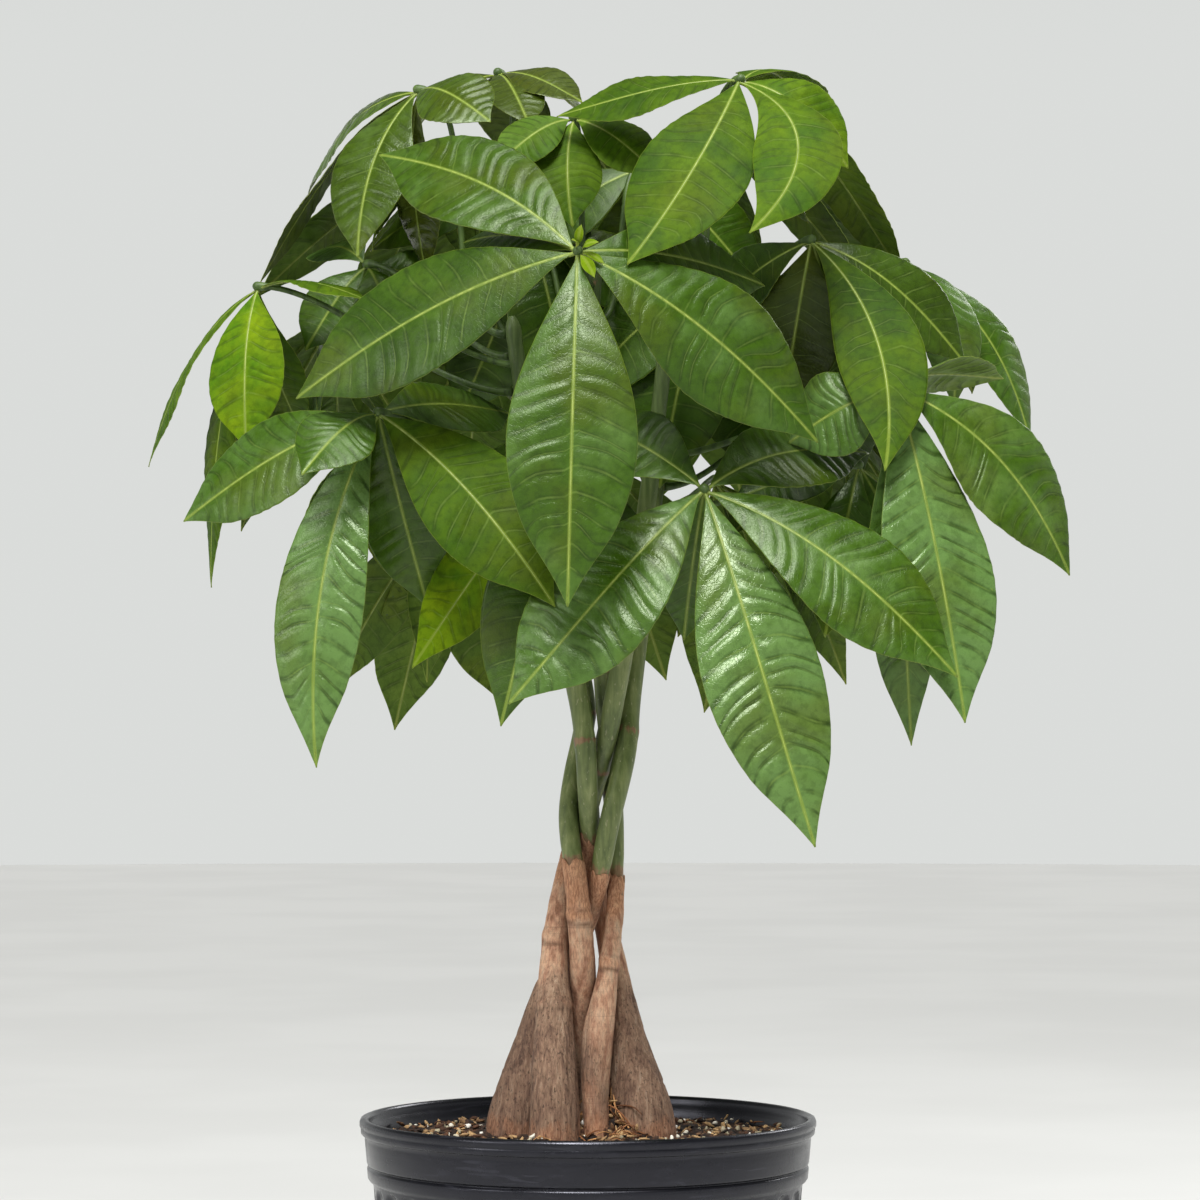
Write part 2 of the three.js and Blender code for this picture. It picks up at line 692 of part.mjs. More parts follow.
function makeStalk(leaf, sideways, rise, extra) {
  const path = stalkPath(leaf, sideways, rise);
  const across = vec(-leaf.hub[1], leaf.hub[0], 0).normalize();
  const rings = STALK_STATIONS.map(([t, swell]) =>
    ringAround(path.getPoint(t), path.getTangent(t), STALK_RADIUS * swell + extra, STALK_SIDES, across));
  const end = path.getTangent(1);
  rings.push(ringAround(path.getPoint(1), end, HUB_RADIUS + extra, STALK_SIDES, across));
  const nose = path.getPoint(1).addScaledVector(end, 3.5);
  rings.push(ringAround(nose, end, HUB_RADIUS * 0.55 + extra, STALK_SIDES, across));
  return ringedSolid(rings);
}

function boxesMeet(a, b) {
  return [0, 1, 2].every((k) => a.min[k] < b.max[k] && b.min[k] < a.max[k]);
}

const crosses = (solid, box, others) =>
  others.some((other) => boxesMeet(box, other.box) && !solid.intersect(other.solid).isEmpty());

// Trial bends, gentlest first: steps of the tip in depth, and steps of the arch.
const BENDS = [];
for (let tip = -6; tip <= 6; tip += 1) {
  for (let arch = -3; arch <= 3; arch += 1) {
    const cost = Math.abs(tip) + 1.3 * Math.abs(arch) + 0.1 * (tip > 0) + 0.05 * (arch < 0);
    BENDS.push({ tip, arch, cost });
  }
}
BENDS.sort((a, b) => a.cost - b.cost);
const TIP_STEP = 9;
const ARCH_STEP = 7;
const STALK_BENDS = [[0, 0], [12, 0], [-12, 0], [0, 14], [0, -14], [24, 0], [-24, 0], [12, 14], [-12, 14],
  [24, -14], [-24, -14], [36, 10], [-36, 10], [0, -28], [0, 28], [48, 0], [-48, 0]];

function growLeaves(fixed) {
  const placed = fixed.map((solid) => ({ solid, box: solid.boundingBox(), leaf: null }));
  const grown = new Map();
  for (const leaf of ALL_LEAVES) {
    const bend = STALK_BENDS.find(([sideways, rise]) => {
      const trial = makeStalk(leaf, sideways, rise, CLEARANCE * 0.4);
      return !crosses(trial, trial.boundingBox(), placed);
    });
    if (!bend) throw new Error(`no room for the stalk of ${leaf.name}`);
    const solid = makeStalk(leaf, ...bend, 0);
    grown.set(leaf, [solid]);
    placed.push({ solid, box: solid.boundingBox(), leaf });
  }
  for (const leaf of ALL_LEAVES) {
    const others = placed.filter((item) => item.leaf !== leaf);
    const depth = vec(...leaf.depth);
    const pattern = leaf.pattern ?? FOLDED_BLADE;
    for (const [index, [x, y, z, width, arch, bow, face]] of leaf.blades.entries()) {
      const hub = vec(...leaf.hub);
      const frameAt = (step) => {
        const tip = hub.clone().add(vec(x, y, z)).addScaledVector(depth, TIP_STEP * step);
        const root = hub.clone().add(tip.clone().sub(hub).setLength(ROOT_OUT));
        return bladeFrame(root, tip, vec(...(face ?? leaf.face)));
      };
      const roomy = BLADE_THICKNESS + 2 * CLEARANCE;
      const bend = BENDS.find((trial) => {
        const trialArch = arch + ARCH_STEP * trial.arch;
        const solid = makeBlade(frameAt(trial.tip), trialArch, bow, width + 1.4, roomy, pattern);
        return !crosses(solid, solid.boundingBox(), others);
      });
      if (!bend) throw new Error(`no room for blade ${index} of ${leaf.name}`);
      const arched = arch + ARCH_STEP * bend.arch;
      const solid = makeBlade(frameAt(bend.tip), arched, bow, width, BLADE_THICKNESS, pattern);
      grown.get(leaf).push(solid);
      placed.push({ solid, box: solid.boundingBox(), leaf });
    }
  }
  return grown;
}

// ---- the part ----
const potMaterial = new THREE.MeshStandardMaterial({ color: '#25252b', roughness: 0.5, metalness: 0 });
const soilMaterial = new THREE.MeshStandardMaterial({ color: '#3a281c', roughness: 1, metalness: 0 });
const barkMaterial = new THREE.MeshStandardMaterial({ color: '#8f6b52', roughness: 0.9, metalness: 0 });
const greenMaterial = new THREE.MeshStandardMaterial({ color: '#5d7a44', roughness: 0.6, metalness: 0 });
const leafMaterial = new THREE.MeshStandardMaterial({ color: '#36641f', roughness: 0.4, metalness: 0 });

const tree = new THREE.Group();
tree.add(meshOf('pot', makePot(), potMaterial));
tree.add(meshOf('soil', makeSoil(), soilMaterial));
const stemSolids = [];
for (const stem of STEMS) {
  const bark = makeBark(stem);
  const green = makeGreen(stem);
  stemSolids.push(bark, green);
  tree.add(meshOf(`stem_${stem.name}_bark`, bark, barkMaterial));
  tree.add(meshOf(`stem_${stem.name}_green`, green, greenMaterial));
}
for (const [leaf, solids] of growLeaves(stemSolids)) {
  tree.add(meshOf(leaf.name, filled(wasm.Manifold.union(solids)), leafMaterial));
}

export default tree;
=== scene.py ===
# A money tree: five plaited stems, a dome of palmate leaves and a black nursery pot, over its solids. Sizes
# are in millimetres in the solids' frame, +Z up, and turn to metres when a mesh is made. The leaf table, the
# stems' lines and the pot's profile are the solids' own, so each finer piece lies where its solid does.
import math

import bpy
import numpy as np
from mathutils.kdtree import KDTree
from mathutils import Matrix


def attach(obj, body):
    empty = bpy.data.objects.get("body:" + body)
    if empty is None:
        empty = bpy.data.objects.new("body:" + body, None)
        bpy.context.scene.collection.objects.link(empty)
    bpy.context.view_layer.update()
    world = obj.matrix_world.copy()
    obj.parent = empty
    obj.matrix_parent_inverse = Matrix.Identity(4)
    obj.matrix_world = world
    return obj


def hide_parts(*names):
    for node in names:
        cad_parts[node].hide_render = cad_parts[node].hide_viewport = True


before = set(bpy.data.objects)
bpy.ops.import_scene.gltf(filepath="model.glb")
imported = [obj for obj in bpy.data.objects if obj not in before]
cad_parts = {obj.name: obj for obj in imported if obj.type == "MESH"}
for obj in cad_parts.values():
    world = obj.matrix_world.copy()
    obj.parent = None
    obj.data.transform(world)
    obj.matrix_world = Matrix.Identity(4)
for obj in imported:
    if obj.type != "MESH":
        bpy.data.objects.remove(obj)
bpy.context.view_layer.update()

MM = 0.001
RNG = np.random.default_rng(7)

# ---- driving dimensions, as in the solids ----
RIM_RADIUS = 127
POT_HEIGHT = 238
BASE_RADIUS = 104
WALL = 2.4
FLUTE_DEPTH = 1.8
FLUTES = 34
DRAIN_HOLES = 6
DRAIN_RADIUS = 6
DRAIN_REACH = (92, 101, 110, 118)
SOIL_TOP = 226
PLAIT_HALF_WIDTH = 13.3
PLAIT_HALF_DEPTH = 11.8
PLAIT_PITCH = 425
PLAIT_LOW = 400
PLAIT_HIGH = 464
PLAIT_PHASE_HEIGHT = 447
EASE = 7
SEAT = 0.3
STALK_RADIUS = 1.7
ROOT_OUT = 2.7
BLADE_THICKNESS = 0.8
TIP_STEP = 9
ARCH_STEP = 7
STATIONS = np.array([0, 0.13, 0.35, 0.6, 0.84, 1])
FRONT = (0, -1, 0.9)
FOLDED, PLAIN = True, False


# ---- helpers ----
def unit(v):
    v = np.asarray(v, float)
    return v / np.linalg.norm(v, axis=-1, keepdims=True)


def smooth(t):
    t = np.clip(t, 0, 1)
    return t * t * (3 - 2 * t)


def along(pairs, at):
    """A value read off a list of (position, value) pairs, straight between them."""
    return np.interp(at, [p[0] for p in pairs], [p[1] for p in pairs])


def bell(offset, width):
    return np.exp(-(offset / width) ** 2)


def angles(sides):
    return 2 * np.pi * np.arange(sides) / sides


def upright(radius, height, angle):
    """Points about the upright axis."""
    return np.stack(np.broadcast_arrays(radius * np.cos(angle), radius * np.sin(angle), height), -1)


def ring(sides, tangent, u):
    """A unit circle round a line, from the direction u."""
    angle = angles(sides)[:, None]
    return np.cos(angle) * u + np.sin(angle) * np.cross(tangent, u)


def noise(points, seed=0):
    """Smooth value noise between -1 and 1 at each point."""
    points = np.asarray(points, float)
    cell = np.floor(points).astype(np.int64)
    part = smooth(points - cell)
    total = 0
    for corner in np.ndindex(2, 2, 2):
        x, y, z = np.moveaxis(cell + corner, -1, 0)
        n = x * 374761393 + y * 668265263 + z * 1440662683 + seed * 1013904223
        n = (n ^ (n >> 13)) * 1274126177
        n = (n ^ (n >> 16)) & 0xFFFF
        total = total + np.prod(np.where(corner, part, 1 - part), -1) * (n / 32767.5 - 1)
    return total


def srgb(code):
    """A colour written as in a paint box, turned to the linear values that shaders use."""
    parts = [int(code[k:k + 2], 16) / 255 for k in (1, 3, 5)]
    return (*(c / 12.92 if c <= 0.04045 else ((c + 0.055) / 1.055) ** 2.4 for c in parts), 1)


def grid_faces(rows, columns, start=0, wrap=False):
    """Quads between the points of a grid, whose points run row by row."""
    last = columns if wrap else columns - 1
    k, j = np.meshgrid(np.arange(rows - 1), np.arange(last), indexing="ij")
    a = k * columns + j
    b = k * columns + (j + 1) % columns
    return start + np.stack([a, b, b + columns, a + columns], -1).reshape(-1, 4)


def put(name, data):
    """An object in the scene."""
    made = bpy.data.objects.new(name, data)
    bpy.context.scene.collection.objects.link(made)
    return made


class Shape:
    """Points, faces, each face's material and each point's values, gathered for one mesh."""

    def __init__(self):
        self.points, self.faces, self.kinds = [], [], []
        self.values = {}
        self.count = 0

    def add(self, points, faces, kind=0, **values):
        points = np.asarray(points, float).reshape(-1, 3)
        self.points.append(points)
        self.add_faces(faces + self.count, kind)
        for name, value in values.items():
            flat = np.broadcast_to(np.asarray(value, float).reshape(-1), len(points))
            self.values.setdefault(name, []).append((self.count, flat))
        self.count += len(points)

    def add_faces(self, faces, kind):
        self.faces.append(faces)
        self.kinds.append(np.broadcast_to(kind, len(faces)))

    def mesh(self, name):
        mesh = bpy.data.meshes.new(name)
        mesh.vertices.add(self.count)
        mesh.vertices.foreach_set("co", (np.concatenate(self.points) * MM).ravel())
        sizes = np.concatenate([np.full(len(f), f.shape[1]) for f in self.faces])
        loops = np.concatenate([f.ravel() for f in self.faces])
        mesh.loops.add(len(loops))
        mesh.loops.foreach_set("vertex_index", loops.astype(np.int32))
        polygons = mesh.polygons
        polygons.add(len(sizes))
        polygons.foreach_set("loop_start", (np.cumsum(sizes) - sizes).astype(np.int32))
        polygons.foreach_set("material_index", np.concatenate(self.kinds).astype(np.int32))
        polygons.foreach_set("use_smooth", np.ones(len(sizes), bool))
        for key, parts in self.values.items():
            data = np.zeros(self.count, np.float32)
            for start, values in parts:
                data[start:start + len(values)] = values
            mesh.attributes.new(key, "FLOAT", "POINT").data.foreach_set("value", data)
        mesh.update(calc_edges=True)
        mesh.validate()
        return mesh


def piece(name, shape, materials, slot, *nodes):
    """A finished piece, which rides on the plant's only body and stands for the solids that it covers."""
    mesh = shape.mesh(name)
    for material in materials:
        mesh.materials.append(material)
    made = put(name, mesh)
    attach(made, "root")
    if nodes:
        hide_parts(*nodes)
    return made


def tube(line, radii, sides, reference=(0, 0, 1)):
    """The points of a round tube: a ring about each point of a line."""
    line = np.asarray(line, float)[:, None]
    tangent = unit(np.gradient(line, axis=0))
    around = ring(sides, tangent, unit(np.cross(tangent, reference)))
    return line + np.broadcast_to(radii, len(line))[:, None, None] * around


def add_tube(shape, rings, kind=0, **values):
    """A closed tube through rings of points, with a point in the middle of each end."""
    rows, sides = rings.shape[:2]
    points = np.concatenate([rings.reshape(-1, 3), [rings[0].mean(0), rings[-1].mean(0)]])
    j = np.arange(sides)
    after = (j + 1) % sides
    end = rows * sides
    top = end - sides
    start = shape.count
    full = {k: grid_values(v, rows, sides) for k, v in values.items()}
    shape.add(points, grid_faces(rows, sides, wrap=True), kind, **full)
    shape.add_faces(start + np.stack([np.full(sides, end), after, j], -1), kind)
    shape.add_faces(start + np.stack([np.full(sides, end + 1), top + j, top + after], -1), kind)


def grid_values(value, rows, sides):
    """A value for each point of a tube's grid, and for the middles of its two ends."""
    grid = np.broadcast_to(np.asarray(value, float), (rows, sides))
    return np.concatenate([grid.ravel(), [grid[0].mean(), grid[-1].mean()]])


# ---- materials ----
class Paint:
    """A principled material, with short ways to add the nodes that vary it."""

    def __init__(self, name, **sockets):
        self.material = bpy.data.materials.new(name)
        self.material.use_nodes = True
        self.nodes = self.material.node_tree.nodes
        self.links = self.material.node_tree.links
        self.shader = self.nodes["Principled BSDF"]
        for key, value in sockets.items():
            self.shader.inputs[key.replace("_", " ")].default_value = value
        self.place = self.node("TexCoord").outputs["Object"]

    def node(self, kind, given=(), **settings):
        """A node with its settings made and the given inputs filled."""
        made = self.nodes.new("ShaderNode" + kind)
        for key, value in settings.items():
            setattr(made, key, value)
        for key, value in dict(given).items():
            self.fill(made.inputs[key], value)
        return made

    def fill(self, socket, value):
        if isinstance(value, bpy.types.NodeSocket):
            self.links.new(value, socket)
        else:
            socket.default_value = srgb(value) if isinstance(value, str) else value

    def attribute(self, name):
        return self.node("Attribute", attribute_name=name).outputs["Fac"]

    def math(self, operation, *values):
        return self.node("Math", enumerate(values), operation=operation).outputs[0]

    def plus(self, a, b):
        return self.math("ADD", a, b)

    def times(self, a, b):
        return self.math("MULTIPLY", a, b)

    def ease(self, *values):
        """A soft step of a value from low to high, between 0 and 1 or two values given last."""
        return self.node("MapRange", enumerate(values), interpolation_type="SMOOTHSTEP").outputs[0]

    def mix(self, share, a, b, blend="MIX"):
        return self.node("Mix", {0: share, 6: a, 7: b}, data_type="RGBA", blend_type=blend).outputs[2]

    def over(self, colour, coat, mask, share):
        """A thin coat of another colour where the mask is near 1."""
        return self.mix(self.times(mask, share), colour, coat)

    def shade(self, colour, tint, mask):
        return self.mix(mask, colour, self.mix(1.0, colour, tint, "MULTIPLY"))

    def texture(self, kind, scale, given=(), **settings):
        """A texture with its own count of cells in a metre along each axis."""
        scale = (scale,) * 3 if np.isscalar(scale) else scale
        stretched = self.node("Mapping", {"Vector": self.place, "Scale": scale}).outputs["Vector"]
        return self.node("Tex" + kind, {"Vector": stretched, "Scale": 1, **dict(given)}, **settings)

    def noise(self, scale, detail=3.0, rough=0.5, twist=0.0):
        given = {"Detail": detail, "Roughness": rough, "Distortion": twist}
        return self.texture("Noise", scale, given).outputs["Fac"]

    def cells(self, scale, feature="F1"):
        return self.texture("Voronoi", scale, feature=feature).outputs["Distance"]

    def ramp(self, value, *stops):
        node = self.node("ValToRGB", {"Fac": value})
        elements = node.color_ramp.elements
        while len(elements) < len(stops):
            elements.new(1)
        for element, (position, colour) in zip(elements, stops):
            element.position = position
            element.color = srgb(colour)
        return node.outputs["Color"]

    def bump(self, height, depth, strength=1.0, before=None):
        """Relief too fine for the mesh, with its depth in millimetres."""
        given = {"Distance": depth * MM, "Strength": strength, "Height": height}
        if before is not None:
            given["Normal"] = before
        return self.node("Bump", given).outputs["Normal"]

    def finish(self, colour, roughness=None, normal=None):
        for key, value in (("Base Color", colour), ("Roughness", roughness), ("Normal", normal)):
            if value is not None:
                self.fill(self.shader.inputs[key], value)
        return self.material


def pot_plastic():
    p = Paint("black_moulded_plastic", Specular_IOR_Level=0.5, Specular_Tint=(0.88, 0.88, 1, 1))
    turned = p.noise((7, 7, 190), 3)
    cloud = p.noise(26, 4, 0.6)
    dust = p.ease(p.noise((60, 60, 240), 5, 0.7), 0.5, 0.75)
    scuffs = p.ease(p.noise((30, 30, 420), 2, 0.5, 1.0), 0.62, 0.7)
    colour = p.mix(p.times(turned, cloud), "#07070b", "#121218")
    colour = p.over(colour, "#5c5c68", dust, 0.08)
    colour = p.over(colour, "#7a7a88", scuffs, 0.06)
    grain = p.bump(p.noise(900, 2), 0.12, 0.5)
    return p.finish(colour, p.ease(cloud, 0.3, 0.7, 0.2, 0.34), p.bump(turned, 0.5, 0.35, grain))


def potting_soil():
    p = Paint("potting_mix", Roughness=0.95)
    crumbs = p.cells(330)
    colour = p.ramp(p.noise(140, 5, 0.7), (0.3, "#150e09"), (0.5, "#33231a"), (0.62, "#5b3d28"),
                    (0.75, "#7d5a3c"))
    # Painted shade: near black in the pits that the crumbs' bump sinks at the middle of each cell.
    colour = p.mix(p.ease(crumbs, 0.1, 0.6), "#120c08", colour)
    return p.finish(colour, None, p.bump(p.plus(crumbs, p.noise(500, 4)), 1.2))


def toned(name, dark, middle, light, grain):
    """A loose bit of the mix, whose colour follows the tone that each bit was given."""
    p = Paint(name, Roughness=0.85)
    spots = p.math("MULTIPLY_ADD", p.noise(grain, 4, 0.6), 0.5, -0.25)
    colour = p.ramp(p.plus(p.attribute("tone"), spots), (0.1, dark), (0.5, middle), (0.95, light))
    return p.finish(colour, None, p.bump(p.noise(grain, 3), 0.25, 0.7))


def bark():
    p = Paint("bark")
    rough, warm = p.attribute("rough"), p.attribute("warm")
    streaks = p.noise((620, 620, 60), 6, 0.7, 0.3)
    plates = p.noise((210, 210, 30), 4, 0.6, 0.5)
    fine = p.noise((1100, 1100, 230), 4, 0.7)
    old = p.ramp(p.plus(p.times(streaks, 0.55), p.times(plates, 0.45)), (0.3, "#4a3226"),
                 (0.4, "#7e5e4b"), (0.48, "#ac886f"), (0.57, "#c6a386"), (0.7, "#e0c8b0"))
    young = p.ramp(p.noise((260, 260, 90), 5, 0.6), (0.3, "#9c6c50"), (0.43, "#c99678"),
                   (0.56, "#e4b896"), (0.8, "#cfb79d"))
    rings = p.ease(p.noise((16, 16, 700), 3, 0.6), 0.58, 0.68)
    young = p.over(young, "#77523b", rings, 0.3)
    colour = p.mix(p.ease(p.plus(rough, p.times(plates, 0.4)), 0.45, 0.8), young, old)
    rust = p.ease(p.plus(warm, p.noise((120, 120, 60), 4, 0.6)), 0.85, 1.15)
    colour = p.over(colour, p.ramp(fine, (0.35, "#bc7852"), (0.65, "#e6b088")), rust, 0.75)
    colour = p.mix(p.ease(fine, 0.6, 0.36, 0.0, 0.3), colour, "#3a2a20")
    specks = p.ease(p.noise((800, 800, 430), 3, 0.6), 0.44, 0.33)
    colour = p.over(colour, "#453023", specks, p.ease(rough, 0.1, 0.7, 0.2, 0.75))
    # Painted shade in the creases between stems and over the rough bark, with the knots' dark cracks.
    colour = p.shade(colour, "#5a4336", p.times(p.attribute("crease"), 0.7))
    relief = p.plus(p.times(streaks, rough), p.times(fine, 0.5))
    return p.finish(colour, p.ease(plates, 0.3, 0.7, 0.75, 0.92), p.bump(relief, 1.3, 0.9))


def green_skin():
    p = Paint("green_stem_skin")
    streaks = p.noise((330, 330, 26), 5, 0.6, 0.3)
    colour = p.ramp(p.plus(p.times(streaks, 0.6), p.times(p.noise(60, 3), 0.4)), (0.32, "#505e30"),
                    (0.45, "#6a7842"), (0.57, "#848f57"), (0.74, "#adb27f"))
    flecks = p.ease(p.noise((700, 700, 240), 2, 0.4), 0.66, 0.72)
    colour = p.over(colour, "#b6b48d", flecks, 0.55)
    # Up among the leaves the skin is a darker green: partly younger skin, partly painted shade of the
    # leaves.
    fresh = p.ramp(streaks, (0.35, "#3d5325"), (0.65, "#556c35"))
    colour = p.over(colour, fresh, p.attribute("fresh"), 0.8)
    corky = p.ease(p.plus(p.attribute("warm"), p.noise((260, 260, 130), 4, 0.65)), 0.82, 1.0)
    colour = p.over(colour, p.ramp(streaks, (0.35, "#7a5238"), (0.65, "#b0876a")), corky, 0.85)
    # Painted shade in the creases against the other stems.
    colour = p.shade(colour, "#4a5a35", p.times(p.attribute("crease"), 0.7))
    normal = p.bump(p.plus(streaks, flecks), 0.35, 0.6)
    return p.finish(colour, p.ease(streaks, 0.3, 0.7, 0.4, 0.58), normal)


def leaf_face(name, shades, olive, dusk, young, vein, rib, gloss, vein_share, shine):
    """The skin of a blade: its colour follows the veins, the blade's age and a tone of its own; it has
    painted shade in the vein valleys and painted sheen at the tone's light end.
    """
    p = Paint(name, Specular_IOR_Level=shine, Specular_Tint=(0.88, 1, 0.74, 1))
    turn = p.math("FRACT", p.attribute("vein"))
    near = p.math("MINIMUM", turn, p.math("SUBTRACT", 1.0, turn))
    out, rim, tone_and_sheen, age = (p.attribute(key) for key in ("out", "rim", "tone", "young"))
    cloud = p.noise(34, 4, 0.6)
    # The tone's grey light end is a painted sheen, for blades that catch the light.
    tone = p.plus(p.times(cloud, 0.6), p.times(tone_and_sheen, 0.5))
    colour = p.ramp(tone, (0.25, shades[0]), (0.5, shades[1]), (0.8, shades[2]))
    bright = p.ease(p.plus(age, p.times(cloud, 0.25)), 0.1, 1.05)
    colour = p.mix(bright, colour, p.ramp(cloud, (0.35, young[0]), (0.65, young[1])))
    colour = p.mix(p.ease(p.noise(21, 3), 0.48, 0.72, 0.0, 0.5), colour, olive)
    colour = p.mix(p.ease(age, 0.0, -0.5, 0.0, 0.75), colour, dusk)
    colour = p.shade(colour, "#7f8c66", p.ease(p.noise(230, 4, 0.6), 0.56, 0.36, 0.0, 0.28))
    # Painted shade: darker in the valleys along the side veins, most on blades of high tone, whose quilting
    # is deepest.
    valley = p.times(p.ease(near, 0.2, 0.02), p.ease(out, 1.5, 6.0))
    valley = p.times(valley, p.ease(tone_and_sheen, 0.0, 1.0, 0.45, 0.8))
    valley = p.times(valley, p.ease(p.noise(95, 3), 0.35, 0.6, 0.25, 1.0))
    colour = p.shade(colour, "#687a50", valley)
    thin = p.ease(p.noise(70, 2), 0.35, 0.65, 0.35, 1.0)
    line = p.times(p.ease(near, 0.07, 0.015), p.times(p.ease(rim, 1.0, 9.0), thin))
    colour = p.over(colour, vein, line, vein_share)
    colour = p.mix(p.ease(out, 1.3, 0.4, 0.0, 0.6), colour, rib)
    colour = p.mix(p.ease(rim, 0.5, 0.1, 0.0, 0.3), colour, rib)
    normal = p.bump(p.ease(p.cells(420, "DISTANCE_TO_EDGE"), 0.0, 0.12), 0.12, 0.3)
    normal = p.bump(p.noise(260, 3), 0.3, 0.35, normal)
    matt = p.plus(p.times(p.math("SUBTRACT", 1.0, tone_and_sheen), 0.12), p.times(age, 0.25))
    return p.finish(colour, p.plus(matt, p.ease(cloud, 0.3, 0.7, gloss, gloss + 0.1)), normal)


def plain_green(name, dark, light, roughness):
    p = Paint(name, Roughness=roughness)
    return p.finish(p.ramp(p.noise((300, 300, 60), 4), (0.35, dark), (0.65, light)), None,
                    p.bump(p.noise(700, 3), 0.15, 0.4))


POT = pot_plastic()
SOIL = potting_soil()
PERLITE = toned("perlite", "#a89d80", "#ddd3b8", "#faf6ea", 900)
CHIP = toned("bark_chip", "#1d120b", "#553521", "#c9a473", 500)
FIBRE = toned("bark_fibre", "#4c2c19", "#8f5c37", "#c8945f", 600)
BARK = bark()
GREEN = green_skin()
# Each face's third shade is a grey light green: painted sheen for the blades of high tone.
FACE_COLOURS = (("#263e07", "#39570c", "#5e7e40"), "#4a560a", "#42430f", ("#496f09", "#70890b"),
                "#849d49", "#829438")
UNDER_COLOURS = (("#445b1e", "#587328", "#708a3a"), "#6c791e", "#5c6128", ("#6b8c23", "#879e2d"),
                 "#8c9c58", "#a0a850")
UPPER = leaf_face("leaf_upper", *FACE_COLOURS, 0.21, 0.26, 0.4)
UNDER = leaf_face("leaf_under", *UNDER_COLOURS, 0.5, 0.35, 0.2)
SOFT = leaf_face("leaf_upper_soft", *FACE_COLOURS, 0.4, 0.24, 0.12)
RIB = plain_green("leaf_rib", "#6f8530", "#94a34c", 0.45)
STALK = plain_green("leaf_stalk", "#33491a", "#526b2c", 0.5)


